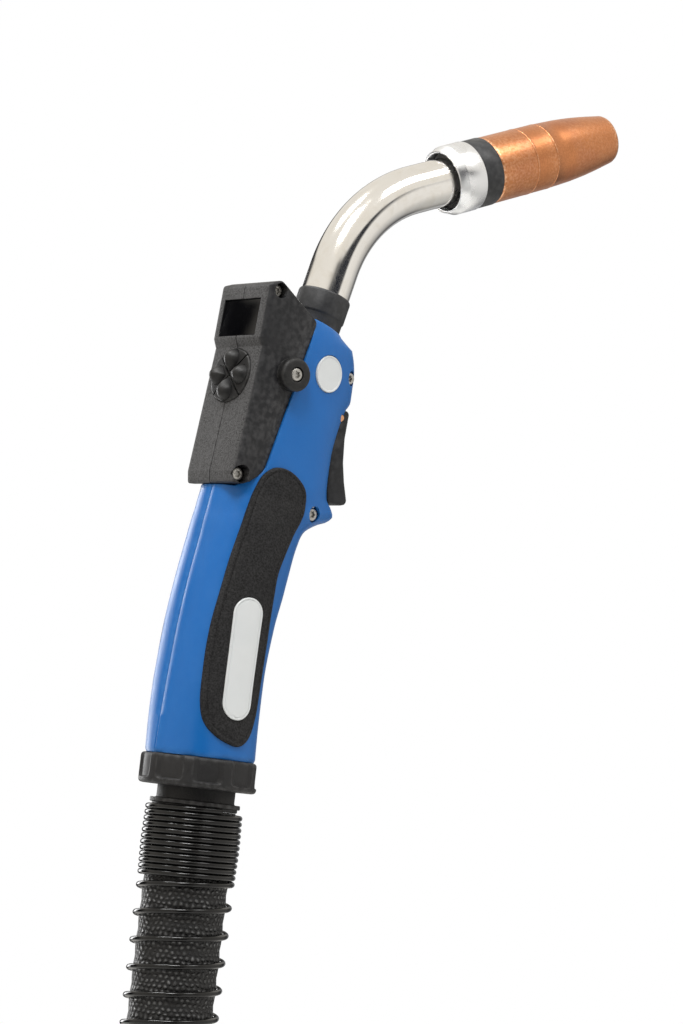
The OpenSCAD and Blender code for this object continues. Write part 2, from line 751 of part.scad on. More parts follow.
module handle_cuts(side) {
    translate([0, 0, handle_foot_z - spigot_len - 1])
        cylinder(d = socket_d + 2 * seat_gap, h = spigot_len + foot_wall + 2, $fn = 96);
    at_neck(handle_top - top_wall - 1) cylinder(d = sleeve_neck_d + 2 * seat_gap, h = 20, $fn = 64);
    at_neck(rib_low - 1)
        cylinder(d = block_d + 2 * seat_gap, h = rib_high - rib_low + rib_t + 2, $fn = 64);
    at_pod() side_slab(-60, 60) offset(delta = seat_gap) pod_back_outline();
    translate([slot_back_x, -trigger_w / 2 - trigger_gap, slot_low_z])
        cube([60, trigger_w + 2 * trigger_gap, slot_high_z - slot_low_z]);
    cross_pin(pivot_x, pivot_z, trigger_pin_d / 2 + 0.03, -pin_half - 2, pin_half + 2);
    for (p = [hook_screw, nose_screw]) {
        cross_pin(p[0], p[1], screw_d / 2 + 0.05, -40, half_width(p[0], p[1]) - 3);
        cross_pin(p[0], p[1], screw_head_d / 2 + 0.5, -40, -half_width(p[0], p[1]) + 4);
    }
    if (side < 0) badge_place() cylinder(d = badge_d + 0.2, h = 20, $fn = 64);
}

pin_half = half_width(pivot_x, pivot_z) - 0.3;

// Outline of the pod that the handle's back is cut to.
module pod_back_outline() {
    polygon([
        [-20, pod_foot_z], [5.5, pod_foot_z], [8.6, pod_foot_z + 2.5],
        [pod_depth_low - 1.7, pod_low_z + 2.2], [pod_depth_low, pod_low_z + 5.4],
        [pod_depth_high, pod_top_z - 12.4], [pod_depth_high, 90], [-20, 90]
    ]);
}

module handle_shell_left() { color([0.05, 0.36, 0.7]) handle_half(1); }
module handle_shell_right() { color([0.05, 0.36, 0.7]) handle_half(-1); }

module grip_pad(side) {
    color([0.13, 0.13, 0.13]) intersection() {
        half_skin(side, pad_rise, skin_gap);
        side_slab(side > 0 ? 3 : -50, side > 0 ? 50 : -3) pad_outline(0);
        at_pod() side_slab(-60, 60) difference() {
            square(400, center = true);
            offset(delta = seat_gap) pod_back_outline();
        }
    }
}

module grip_pad_left() { grip_pad(1); }
module grip_pad_right() { grip_pad(-1); }

module grip_plate(side) {
    color([0.86, 0.88, 0.9]) intersection() {
        half_skin(side, pad_rise + plate_t, pad_rise + skin_gap);
        side_slab(side > 0 ? 3 : -50, side > 0 ? 50 : -3) plate_outline(0);
    }
}

module grip_plate_left() { grip_plate(1); }
module grip_plate_right() { grip_plate(-1); }

badge_x = 30;
badge_z = hook_z + 57;
badge_turn = 13;

// The disc's frame: local z points out of the right side of the head.
module badge_place() {
    translate([badge_x, -half_width(badge_x, badge_z) + 1.2, badge_z]) rotate([90, 0, badge_turn]) children();
}

module badge_disc() {
    color([0.9, 0.9, 0.92]) badge_place() translate([0, 0, 0.02]) cylinder(d = badge_d, h = 1.3, $fn = 64);
}

module handle_screws() {
    color([0.7, 0.7, 0.72]) for (p = [hook_screw, nose_screw])
        cross_screw(
            p[0], p[1],
            -half_width(p[0], p[1]) + 4 - screw_head_h - 0.02, half_width(p[0], p[1]) - 4
        );
}

// ---------------------------------------------------------------- trigger
switch_z = hook_z + 18;
switch_x = 29.4;
switch_w = 6.4;
plunger_d = 2.4;
plunger_reach = 2.4;
plunger_root = 3;
plunger_end_x = switch_x + switch_h + plunger_reach;
plunger_gap = 0.3;
nub_h = 5;

module trigger() {
    color([0.19, 0.19, 0.2]) difference() {
        union() {
            side_slab(-trigger_w / 2, trigger_w / 2) polygon([
                [pivot_x + 2.6, pivot_z + 3.4], [pivot_x + 5, pivot_z + 3.8], [pivot_x + 6, pivot_z + 2.4],
                [pivot_x + 5.2, pivot_z - 8], [pivot_x + 5.8, pivot_z - 18], [pivot_x + 7.4, pivot_z - 26],
                [pivot_x + 9.6, pivot_z - 33.6], [pivot_x + 9, pivot_z - 35.2], [pivot_x + 7, pivot_z - 35.8],
                [pivot_x - 0.6, pivot_z - 35.8], [pivot_x - 1.6, pivot_z - 30], [pivot_x - 2.6, pivot_z - 12],
                [pivot_x - 2.6, pivot_z + 1]
            ]);
            cross_pin(pivot_x, pivot_z, 3.4, -trigger_w / 2, trigger_w / 2);
            translate([plunger_end_x + plunger_gap, -switch_w / 2, switch_z + (switch_len - nub_h) / 2])
                cube([pivot_x - plunger_end_x - 1, switch_w, nub_h]);
        }
        cross_pin(pivot_x, pivot_z, trigger_pin_d / 2 + 0.04, -trigger_w, trigger_w);
    }
}

module trigger_pin() {
    color([0.8, 0.5, 0.32]) cross_pin(pivot_x, pivot_z, trigger_pin_d / 2, -pin_half, pin_half);
}

module switch_body() {
    color([0.1, 0.1, 0.1]) difference() {
        translate([switch_x, -switch_w / 2, switch_z]) cube([switch_h, switch_w, switch_len]);
        translate([switch_x + 1, 0, switch_z + switch_len / 2]) rotate([0, 90, 0])
            cylinder(r = plunger_d / 2 + 0.05, h = switch_h, $fn = 24);
        neck_cut(0.3);
    }
}

module switch_plunger() {
    color([0.75, 0.1, 0.1]) translate([switch_x + plunger_root, 0, switch_z + switch_len / 2])
        rotate([0, 90, 0])
            cylinder(d = plunger_d, h = plunger_end_x - switch_x - plunger_root, $fn = 24);
}

module switch_bracket() {
    y_wall = min([for (z = [switch_z - 1, switch_z + switch_len + 1]) half_width(switch_x, z)])
        - shell_wall - 0.5;
    color([0.12, 0.12, 0.13]) difference() {
        translate([switch_x - 1.2, -y_wall, switch_z - 1]) cube([1.2, 2 * y_wall, switch_len + 2]);
        neck_cut(0.3);
    }
}

// ---------------------------------------------------------------- rear end
collar_top_z = handle_foot_z - 0.1;
collar_low_z = collar_top_z - collar_h;
socket_top_z = collar_top_z + 6;
flange_z = collar_low_z - socket_len - flange_h;

module rear_collar() {
    color([0.16, 0.16, 0.17]) difference() {
        translate([0, 0, collar_low_z]) rotate_extrude($fn = 96) polygon([
            [socket_d / 2 + 0.3, 0], [collar_d / 2 - 1.4, 0],
            [collar_d / 2 - 0.4, 0.5], [collar_d / 2, 1.6],
            [collar_d / 2 - 0.5, collar_h - 0.8], [collar_d / 2 - 1.2, collar_h],
            [foot_spigot_d / 2 + 0.1, collar_h], [foot_spigot_d / 2 + 0.1, collar_h - spigot_len],
            [socket_d / 2 + 0.3, collar_h - spigot_len]
        ]);
        for (i = [0 : collar_flutes - 1])
            rotate([0, 0, 360 * (i + 0.5) / collar_flutes])
                translate([collar_d / 2 + 2.2, 0, collar_low_z + 2])
                    cylinder(r = 3.2, h = collar_h, $fn = 32);
    }
}

socket_wall = 3;
hose_seat_z = flange_z + 1;

module cable_socket() {
    color([0.13, 0.13, 0.14]) difference() {
        union() {
            translate([0, 0, flange_z]) cylinder(d = flange_d, h = flange_h, $fn = 96);
            translate([0, 0, flange_z]) cylinder(d = socket_d, h = socket_top_z - flange_z, $fn = 96);
        }
        translate([0, 0, hose_seat_z]) cylinder(d = socket_d - 2 * socket_wall, h = 60, $fn = 64);
        translate([0, 0, flange_z - 1]) cylinder(d = lead_d + 0.2, h = 20, $fn = 48);
    }
}

lead_d = 12;

// The lead from the hose's end to the neck block: straight, then leaning with the block.
module power_lead() {
    color([0.12, 0.12, 0.12]) union() {
        translate([0, 0, flange_z]) cylinder(d = lead_d, h = neck_cross_z - flange_z, $fn = 48);
        translate([0, 0, neck_cross_z]) sphere(d = lead_d + 0.1, $fn = 48);
        at_neck() cylinder(d = lead_d, h = block_start + 12, $fn = 48);
    }
}

// ---------------------------------------------------------------- spring
curl_rings = 8;
wire_sides = 6;
// The spring's corners stand over the hose's corners, and its straight stretches over the hose's flats.
spring_clear = 0.1;
spring_r = (corner_r(hose_d, curl_rings) * cos(180 / curl_rings) + spring_clear
    + corner_r(spring_wire_d, wire_sides)) / cos(180 / curl_rings);
spring_start = 180;
spring_top_z = flange_z - spring_wire_d / 2 - 0.05;
close_h = spring_close_turns * spring_close_pitch;
spring_turns = spring_close_turns + spring_open_turns;

// Drop of the wire after u turns: close turns, then open turns.
function spring_drop(u) =
    u < spring_close_turns
    ? u * spring_close_pitch
    : close_h + (u - spring_close_turns) * spring_open_pitch;
function spring_at(u) = [
    spring_r * cos(spring_start - 360 * u),
    spring_r * sin(spring_start - 360 * u),
    spring_top_z - spring_drop(u)
];

function unit(v) = v / norm(v);
// Rings of a tube round a path: each ring stands square to the path, its first corner square to `ref`.
function tube_points(path, r, sides, ref) = [
    for (i = [0 : len(path) - 1])
    let (
        t = unit(path[min(i + 1, len(path) - 1)] - path[max(i - 1, 0)]),
        side = unit(cross(t, ref)),
        up = cross(side, t)
    )
    for (k = [0 : sides - 1]) path[i] + r * (cos(360 * k / sides) * side + sin(360 * k / sides) * up)
];
function tube_faces(rings, sides) = concat(
    [
        for (i = [0 : rings - 2], k = [0 : sides - 1])
        let (a = i * sides + k, b = i * sides + (k + 1) % sides)
        each [[a, b, b + sides], [a, b + sides, a + sides]]
    ],
    [for (k = [1 : sides - 2]) [0, k + 1, k]],
    [for (k = [1 : sides - 2]) let (o = (rings - 1) * sides) [o, o + k, o + k + 1]]
);

// Corners stand a little past the radius, so that the faces lie at it on the mean.
function corner_r(d, sides) = d / 2 / sqrt(cos(180 / sides));

module tube(path, d, sides, ref = [0, 0, 1]) {
    polyhedron(
        tube_points(path, corner_r(d, sides), sides, ref),
        tube_faces(len(path), sides),
        convexity = 10
    );
}

// Least distance between two stretches of a path that lie at least `skip` points apart.
function least_gap(path, skip, d) = min([
    for (i = [0 : len(path) - 1 - skip])
    min([for (j = [i + skip : len(path) - 1]) norm(path[i] - path[j])])
]) - d;

spring_path = [for (i = [0 : spring_turns * curl_rings]) spring_at(i / curl_rings)];
spring_fine = [for (i = [0 : spring_turns * 24]) spring_at(i / 24)];

module bend_spring() {
    color([0.03, 0.03, 0.03]) tube(spring_path, spring_wire_d, wire_sides);
}

// ---------------------------------------------------------------- hose
hose_top_z = flange_z - 0.05;
hang_end_z = -369;
bend_r = 150;
floor_mid_z = hang_end_z - bend_r;
coil_x = 197;
coil_rings = 24;
coil_turns = 1.75;
coil_step = hose_d + coil_gap;

// The hanging run: down, round a quarter bend, and along the floor to the coil.
RUN_POINTS = [
    [0, 0, hose_top_z], [0, 0, -115], [0, 0, -175], [0, 0, -235], [0, 0, hang_end_z],
    [5, 0, hang_end_z - 39], [20, 0, hang_end_z - 75], [44, 0, hang_end_z - 106],
    [75, 0, hang_end_z - 130], [111, 0, hang_end_z - 145], [150, 0, floor_mid_z],
    [coil_x - hose_d, 0, floor_mid_z]
];

function coil_radius(u) =
    u < 1 ? coil_r - coil_step * u
    : u < 1.5 ? let (v = (u - 1) / 0.5) coil_r - coil_step * (1 + 0.5 * (v - v * v))
    : coil_r - coil_step * (2.5 - u);
function coil_height(u) =
    u < 1 ? 0
    : u < 1.5 ? let (v = (u - 1) / 0.5) coil_step * v * v * (3 - 2 * v)
    : coil_step;
function coil_at(u) = [
    coil_x + coil_radius(u) * sin(360 * u),
    coil_r - coil_radius(u) * cos(360 * u),
    floor_mid_z + coil_height(u)
];

coil_end = coil_at(coil_turns);
coil_path = concat(
    [[coil_x - hose_d, 0, floor_mid_z]],
    [for (i = [0 : coil_turns * coil_rings]) coil_at(i / coil_rings)],
    [coil_end + [0, -hose_d, 0]]
);
coil_fine = [for (i = [0 : coil_turns * 72]) coil_at(i / 72)];
plug_mid_z = floor_mid_z - hose_d / 2 + nut_d / 2;
tail_x = coil_end[0];
tail_y0 = coil_end[1] - hose_d;
tail_drop = coil_end[2] - plug_mid_z;
tail_len = 220;
tail_bend_len = 150;
tail_rings = 8;

function tail_fall(v) = v < 0.5 ? 2 * v * v : 1 - 2 * (1 - v) * (1 - v);
tail_path = concat(
    [[tail_x, tail_y0, coil_end[2]], [tail_x, tail_y0 - 10, coil_end[2]]],
    [
        for (i = [1 : tail_rings])
        let (v = i / tail_rings)
        [tail_x, tail_y0 - 10 - tail_bend_len * v, coil_end[2] - tail_drop * tail_fall(v)]
    ],
    [[tail_x, tail_y0 - tail_len, plug_mid_z]]
);

function path_length(path) =
    let (steps = [for (i = [0 : len(path) - 2]) norm(path[i + 1] - path[i])])
    steps * [for (v = steps) 1];

module cable_run() {
    color([0.06, 0.06, 0.06]) tube(RUN_POINTS, hose_d, curl_rings, [0, 1, 0]);
}

module cable_coil() {
    color([0.06, 0.06, 0.06]) tube(coil_path, hose_d, 6);
}

module cable_tail() {
    color([0.06, 0.06, 0.06]) tube(tail_path, hose_d, 12, [1, 0, 0]);
}

// A strap round the two lengths of hose that lie one over the other, at the middle of a straight stretch.
tie_ring = 15;
tie_w = 18;
tie_t = 1.2;
tie_gap = 0.5;

// The middle of the stretch after ring i, as distance from the coil's axis and height.
function stretch_mid(i) =
    let (m = (coil_at(i / coil_rings) + coil_at((i + 1) / coil_rings)) / 2)
    [norm([m[0] - coil_x, m[1] - coil_r]), m[2] - floor_mid_z];

module tie_outline(grow) {
    r = corner_r(hose_d, 6) + grow / cos(30);
    hull() {
        translate(stretch_mid(tie_ring)) circle(r = r, $fn = 6);
        translate(stretch_mid(tie_ring + coil_rings)) circle(r = r, $fn = 6);
    }
}

module coil_tie() {
    color([0.1, 0.1, 0.1]) translate([coil_x, coil_r, floor_mid_z])
        rotate([0, 0, 360 * (tie_ring + 0.5) / coil_rings - 90]) rotate([90, 0, 0])
            translate([0, 0, -tie_w / 2]) linear_extrude(tie_w) difference() {
                tie_outline(tie_gap + tie_t);
                tie_outline(tie_gap);
            }
}

echo(spring_gap = least_gap(spring_fine, 18, spring_wire_d));
echo(coil_gap_least = least_gap(coil_fine, 40, hose_d));
echo(hose_length = path_length(RUN_POINTS) + path_length(coil_path) + path_length(tail_path));

// ---------------------------------------------------------------- connector
relief_len = 40;
relief_y = tail_y0 - tail_len;

// The connector's frame: local z runs out of the plug, along -Y.
module at_plug(s = 0) {
    translate([tail_x, relief_y, plug_mid_z]) rotate([90, 0, 0]) translate([0, 0, s]) children();
}

module connector_relief() {
    color([0.08, 0.08, 0.08]) at_plug(-relief_grip) difference() {
        cylinder(d1 = hose_d + 3, d2 = plug_d - 3, h = relief_grip + relief_len, $fn = 64);
        translate([0, 0, -1]) cylinder(r = corner_r(hose_d, 12) + 0.2, h = relief_grip + 1, $fn = 64);
    }
}

relief_grip = 20;

module connector_body() {
    color([0.12, 0.12, 0.13]) at_plug(relief_len) difference() {
        union() {
            cylinder(d = plug_d, h = plug_len - nut_len, $fn = 64);
            cylinder(d = nut_bore_d - 0.6, h = plug_len, $fn = 64);
        }
        translate([0, 0, plug_len - 20]) cylinder(d = shoulder_d + 0.04, h = 30, $fn = 64);
        for (s = [-1, 1])
            translate([s * signal_offset, 0, plug_len - 12])
                cylinder(r = signal_d / 2 + 0.04, h = 20, $fn = 24);
        translate([0, 0, plug_len + 4]) cylinder(d = 60, h = 20);
    }
}

nut_bore_d = plug_d - 4;
shoulder_d = power_pin_d + 2;
shoulder_len = 10;
signal_offset = 14;
signal_d = 3.2;
signal_travel = 2.5;

module connector_nut() {
    color([0.1, 0.1, 0.11]) at_plug(relief_len + plug_len - nut_len + 0.3) difference() {
        cylinder(d = nut_d, h = nut_len + 6, $fn = 96);
        translate([0, 0, -1]) cylinder(d = nut_bore_d, h = nut_len + 10, $fn = 96);
        for (i = [0 : 11])
            rotate([0, 0, 30 * i]) translate([nut_d / 2 + 1.6, 0, -1])
                cylinder(r = 3, h = nut_len + 10, $fn = 24);
    }
}

module power_pin() {
    color([0.8, 0.65, 0.35]) at_plug(relief_len + plug_len - 20) difference() {
        union() {
            cylinder(d = power_pin_d, h = 20 + power_pin_len, $fn = 64);
            cylinder(d = shoulder_d, h = 20 + shoulder_len, $fn = 64);
        }
        translate([0, 0, 20 + power_pin_len - 12]) cylinder(d = 8.04, h = 20, $fn = 48);
        translate([0, 0, 5]) cylinder(d = 4, h = 80, $fn = 32);
    }
}

module signal_pin(side) {
    color([0.8, 0.68, 0.4]) at_plug(relief_len + plug_len - 12 + signal_travel + 0.3)
        translate([side * signal_offset, 0, 0]) cylinder(d = signal_d, h = 12 + 6, $fn = 24);
}

module signal_pin_left() { signal_pin(1); }
module signal_pin_right() { signal_pin(-1); }

module gas_nipple() {
    color([0.75, 0.6, 0.3]) at_plug(relief_len + plug_len + power_pin_len - 12) difference() {
        cylinder(d = 8, h = 24, $fn = 48);
        translate([0, 0, -1]) cylinder(d = 4, h = 30, $fn = 32);
        translate([0, 0, 19]) rotate_extrude($fn = 48) translate([4, 0]) circle(r = 0.6, $fn = 16);
    }
}

gas_nozzle();
nozzle_insulator();
nozzle_ring();
contact_tip();
gas_diffuser();
neck_head();
neck_tube();
neck_sleeve();
neck_block();
handle_shell_left();
handle_shell_right();
grip_pad_left();
grip_pad_right();
grip_plate_left();
grip_plate_right();
badge_disc();
trigger();
trigger_pin();
switch_body();
switch_plunger();
switch_bracket();
handle_screws();
rear_collar();
cable_socket();
bend_spring();
power_lead();
pod_shell_left();
pod_shell_right();
pod_base();
display_window();
display_board();
keypad_mat();
key_up();
key_down();
key_left();
key_right();
pod_screws();
bumper_left();
bumper_right();
bumper_screws();
cable_run();
cable_coil();
cable_tail();
coil_tie();
connector_relief();
connector_body();
connector_nut();
power_pin();
signal_pin_left();
signal_pin_right();
gas_nipple();
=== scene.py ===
# %% [markdown]
# # A welding torch, dressed in Blender
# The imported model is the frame: it holds every body and solid at its true place, in metres. This script
# never moves it. It gives each visible solid a finish, and where a solid is only a plain stand-in, it
# builds a finer piece at the same place, which rides on the same body.

# %% Load the frame
import math

import bmesh
import bpy
import numpy as np
from mathutils import Matrix, Vector


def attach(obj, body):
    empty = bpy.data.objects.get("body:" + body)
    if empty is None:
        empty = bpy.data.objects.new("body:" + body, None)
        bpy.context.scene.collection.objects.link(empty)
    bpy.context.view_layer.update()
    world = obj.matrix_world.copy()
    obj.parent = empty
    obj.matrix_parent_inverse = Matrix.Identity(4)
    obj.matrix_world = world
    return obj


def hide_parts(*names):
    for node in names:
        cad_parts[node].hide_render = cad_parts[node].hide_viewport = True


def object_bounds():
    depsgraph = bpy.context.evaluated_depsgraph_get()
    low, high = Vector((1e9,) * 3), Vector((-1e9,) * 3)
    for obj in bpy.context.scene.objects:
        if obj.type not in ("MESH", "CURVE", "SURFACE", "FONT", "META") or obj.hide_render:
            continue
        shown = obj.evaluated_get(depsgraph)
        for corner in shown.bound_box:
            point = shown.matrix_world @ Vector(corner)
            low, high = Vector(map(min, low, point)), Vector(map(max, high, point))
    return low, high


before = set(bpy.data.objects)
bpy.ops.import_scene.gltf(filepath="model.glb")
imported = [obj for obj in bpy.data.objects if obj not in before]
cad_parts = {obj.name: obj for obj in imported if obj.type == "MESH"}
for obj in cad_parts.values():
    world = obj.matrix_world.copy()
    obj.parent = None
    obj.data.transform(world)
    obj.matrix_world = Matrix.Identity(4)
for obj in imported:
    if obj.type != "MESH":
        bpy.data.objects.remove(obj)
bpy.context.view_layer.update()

MM = 0.001
print("solids in the frame:", len(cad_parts))

# %% [markdown]
# ## Camera
# A product shot of a long thin tool is taken from far away with a long lens, so that nothing looks
# stretched. The camera stands a little below the middle of the tool, turned to its back and its right
# side, and it is rolled so that the tool leans. Its axes are written out as a matrix, since a roll about
# the line of sight is awkward to give as angles.

# %% Place the camera
LOOK_AT = Vector((37.45, -26.22, 48.68)) * MM
CAMERA_FAR, SENSOR_MM, FOCAL_SHARE = 1.64, 36, 4000 / 1024


def new_object(name, data):
    obj = bpy.data.objects.new(name, data)
    bpy.context.scene.collection.objects.link(obj)
    return obj


def turned(azimuth, elevation, roll):
    """The picture's right, its up and the way back to the camera, from angles in degrees."""
    a, e, r = (math.radians(v) for v in (azimuth, elevation, roll))
    back = Vector((math.sin(a) * math.cos(e), -math.cos(a) * math.cos(e), math.sin(e)))
    right = Vector((math.cos(a), math.sin(a), 0))
    up = back.cross(right)
    return math.cos(r) * right + math.sin(r) * up, math.cos(r) * up - math.sin(r) * right, back


axes = turned(azimuth=-35, elevation=-4.5, roll=6.6)
camera = new_object("camera", bpy.data.cameras.new("camera"))
camera.data.sensor_width = SENSOR_MM
camera.data.lens = SENSOR_MM * FOCAL_SHARE
camera.matrix_world = Matrix.Translation(LOOK_AT + axes[2] * CAMERA_FAR) @ Matrix(axes).transposed().to_4x4()
bpy.context.scene.camera = camera
print("camera", CAMERA_FAR, "m from the tool, lens", camera.data.lens, "mm")

# %% [markdown]
# ## Helpers for making meshes
# Nearly everything here is turned, drawn out along a line or moulded. So a few makers are enough: a lathe
# that spins a profile, a sweep that carries a round section along a path, an outline drawn out straight,
# and, further down, a slab with the rounded rim of a moulding. The lathe and the sweep give their faces a
# UV map in metres, so a weave or a brushed grain has its true size anywhere.

# %% Make an object from points and faces
STILL = Matrix.Identity(4)


def smooth(obj, below=35):
    obj.data.shade_smooth()
    obj.data.set_sharp_from_angle(angle=math.radians(below))
    return obj


def piece(name, points, faces, uvs=None, smooth_below=35):
    """Points are in metres; uvs holds a (u, v) for each corner of each face."""
    mesh = bpy.data.meshes.new(name)
    mesh.from_pydata([tuple(p) for p in points], [], faces)
    if uvs is not None:
        layer = mesh.uv_layers.new(name="metres")
        layer.data.foreach_set("uv", [c for face in uvs for uv in face for c in uv])
    return smooth(new_object(name, mesh), smooth_below)


def solid(name, points, faces, uvs=None, smooth_below=35):
    """A closed piece, with all its faces turned outward."""
    obj = piece(name, points, faces, uvs, smooth_below)
    work = bmesh.new()
    work.from_mesh(obj.data)
    bmesh.ops.recalc_face_normals(work, faces=work.faces)
    work.to_mesh(obj.data)
    work.free()
    return obj


def bands(rows, n, start=0):
    """Faces between neighbouring closed rows of n points each, counted from start."""
    faces = []
    for a in range(start, start + (rows - 1) * n, n):
        faces += [(a + k, a + (k + 1) % n, a + n + (k + 1) % n, a + n + k) for k in range(n)]
    return faces


def drawn_out(name, outline, low, high, axis, place=STILL):
    """An outline in mm, drawn out along the place's x, y or z: axis 0, 1 or 2."""
    n = len(outline)
    points = [place @ Vector((*p[:axis], end, *p[axis:])) * MM for end in (low, high) for p in outline]
    return solid(name, points, [tuple(range(n)), tuple(range(2 * n - 1, n - 1, -1))] + bands(2, n))


def settle(obj, below=35):
    """Bakes the object's modifiers into its mesh."""
    bpy.context.view_layer.update()
    baked = bpy.data.meshes.new_from_object(
        obj.evaluated_get(bpy.context.evaluated_depsgraph_get())
    )
    obj.modifiers.clear()
    obj.data = baked
    return smooth(obj, below)

# %% Finish a piece: its body, the solids that it stands for, and its finish
def fit(obj, body, finish, stands_for=()):
    obj.data.materials.clear()
    obj.data.materials.append(finish.material)
    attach(obj, body)
    if stands_for:
        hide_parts(*stands_for)
    return obj

# %% Spin a profile round an axis, and carry a round section along a path
def wrap(rows, sides, along, girth):
    """Faces and UVs round rows of points; a length more than there are rows closes the last on the first."""
    faces, uvs = [], []
    for i in range(len(along) - 1):
        a, b = i * sides, (i + 1) % rows * sides
        v0, v1 = along[i] * MM, along[i + 1] * MM
        for k in range(sides):
            m = (k + 1) % sides
            u0, u1 = k / sides * girth * MM, (k + 1) / sides * girth * MM
            faces.append((a + k, a + m, b + m, b + k))
            uvs.append(((u0, v0), (u1, v0), (u1, v1), (u0, v1)))
    return faces, uvs


def lathe(name, profile, place, sides=128, flute=None):
    """profile: (radius, distance along the axis) in mm; flute may change a radius with the angle."""
    along = [0.0]
    for a, b in zip(profile, profile[1:] + profile[:1]):
        along.append(along[-1] + math.dist(a, b))
    points = []
    for r, t in profile:
        for k in range(sides):
            angle = 2 * math.pi * k / sides
            reach = flute(r, t, angle) if flute else r
            points.append(place @ Vector((reach * math.cos(angle), reach * math.sin(angle), t)) * MM)
    girth = 2 * math.pi * max(r for r, t in profile)
    return solid(name, points, *wrap(len(profile), sides, along, girth))


def sweep(name, path, radius, sides, ref=None, caps=True):
    """path in mm; radius is one number or a function of the distance along the path and the angle."""
    reach = radius if callable(radius) else lambda s, angle: radius
    path = [Vector(p) for p in path]
    last = len(path) - 1
    tangent = [(path[min(i + 1, last)] - path[max(i - 1, 0)]).normalized() for i in range(last + 1)]
    side = (Vector(ref) if ref else tangent[0].orthogonal()).normalized()
    done = [0.0]
    for a, b in zip(path, path[1:]):
        done.append(done[-1] + (b - a).length)
    points = []
    for s, p, t in zip(done, path, tangent):
        side = (side - t * side.dot(t)).normalized()
        other = t.cross(side)
        for k in range(sides):
            angle = 2 * math.pi * k / sides
            points.append((p + reach(s, angle) * (math.cos(angle) * side + math.sin(angle) * other)) * MM)
    faces, uvs = wrap(len(path), sides, done, 2 * math.pi * reach(0.0, 0))
    if caps:
        faces += [tuple(range(sides - 1, -1, -1)), tuple(range(last * sides, (last + 1) * sides))]
        uvs += [[(0.0, 0.0)] * sides] * 2
    return piece(name, points, faces, uvs, 60)

# %% Smooth lines through points
def curve_through(points, per_step, closed=False):
    """Points on one smooth (Catmull-Rom) curve through all the given points."""
    p = [np.array(q, float) for q in points]
    before, after = (p[-1:], p[:2]) if closed else ([2 * p[0] - p[1]], [2 * p[-1] - p[-2]])
    p = before + p + after
    made = []
    for a, b, c, d in zip(p, p[1:], p[2:], p[3:]):
        da, db, dc = (max(np.linalg.norm(v) ** 0.5, 1e-6) for v in (b - a, c - b, d - c))
        m1 = (b - a) / da - (c - a) / (da + db) + (c - b) / db
        m2 = (c - b) / db - (d - b) / (db + dc) + (d - c) / dc
        for k in range(per_step):
            t = k / per_step
            h = (2 * t**3 - 3 * t**2 + 1, t**3 - 2 * t**2 + t, 3 * t**2 - 2 * t**3, t**3 - t**2)
            made.append(h[0] * b + h[1] * db * m1 + h[2] * c + h[3] * db * m2)
    return made if closed else made + [c]


def evenly(points, step):
    """The same line with its points a given distance apart."""
    p = np.array(points, float)
    s = np.concatenate([[0], np.cumsum(np.linalg.norm(np.diff(p, axis=0), axis=1))])
    at = np.linspace(0, s[-1], max(2, round(s[-1] / step) + 1))
    return np.stack([np.interp(at, s, p[:, k]) for k in range(p.shape[1])], 1)

# %% [markdown]
# ## Places on the tool
# The neck leans forward from the handle's axis, bends over, and carries the nozzle. The pod leans with
# the handle's back, and the connector lies level at the hose's far end. Each has a frame of its own, so
# that its profile can be written as if it stood upright.

# %% Local frames, in mm
NECK_LEAN, NECK_CROSS_Z, NECK_STRAIGHT, NECK_BEND_R, NECK_BEND, NECK_END = 14.5, 4.6, 151, 60, 53, 16


def tilt(degrees):
    return Matrix.Rotation(math.radians(degrees), 4, "Y")


def at_neck(s=0):
    return Matrix.Translation((0, 0, NECK_CROSS_Z)) @ tilt(NECK_LEAN) @ Matrix.Translation((0, 0, s))


def at_nozzle(t=0):
    b = math.radians(NECK_BEND)
    return (
        at_neck(NECK_STRAIGHT)
        @ Matrix.Translation((NECK_BEND_R * (1 - math.cos(b)), 0, NECK_BEND_R * math.sin(b)))
        @ tilt(NECK_BEND)
        @ Matrix.Translation((0, 0, NECK_END + t))
    )


AT_POD = Matrix.Translation((-6.8, 0, 99)) @ tilt(7.2)
FLOOR_MID_Z = -519.0
PLUG_AT = Vector((0.375, -30.5, -510.25))


def at_plug(s=0):
    return Matrix.Translation(PLUG_AT - Vector((0, s, 0))) @ Matrix.Rotation(math.radians(90), 4, "X")


print("nozzle mouth at", [round(v, 2) for v in at_nozzle(91.5).translation])

# %% [markdown]
# ## Hose
# The hose is a bundle of tubes and leads in a black braided jacket, 34.5 mm across and 3 m long, which is
# the shortest length such a torch is sold with. Its first hand's breadth is seen with the tool.
# The rest hangs down, turns along the floor and is put away as a coil held by a strap. It is one swept
# tube along one line, so its length is real, and the jacket bulges a little between the spring's turns.

# %% The line that the hose follows
HOSE_D, COIL_X, COIL_R, COIL_STEP, COIL_TURNS, COIL_STEPS = 34.5, 197, 224, 36.5, 1.75, 24
HOSE_TOP_Z, HANG_END_Z, TAIL_LEN, TAIL_BEND_LEN, HOSE_IN_RELIEF = -78.85, -369, 220, 150, 26


def coil_at(u):
    if u < 1:
        r, h = COIL_R - COIL_STEP * u, 0.0
    elif u < 1.5:
        v = (u - 1) / 0.5
        r, h = COIL_R - COIL_STEP * (1 + 0.5 * (v - v * v)), COIL_STEP * v * v * (3 - 2 * v)
    else:
        r, h = COIL_R - COIL_STEP * (2.5 - u), COIL_STEP
    a = 2 * math.pi * u
    return (COIL_X + r * math.sin(a), COIL_R - r * math.cos(a), FLOOR_MID_Z + h)


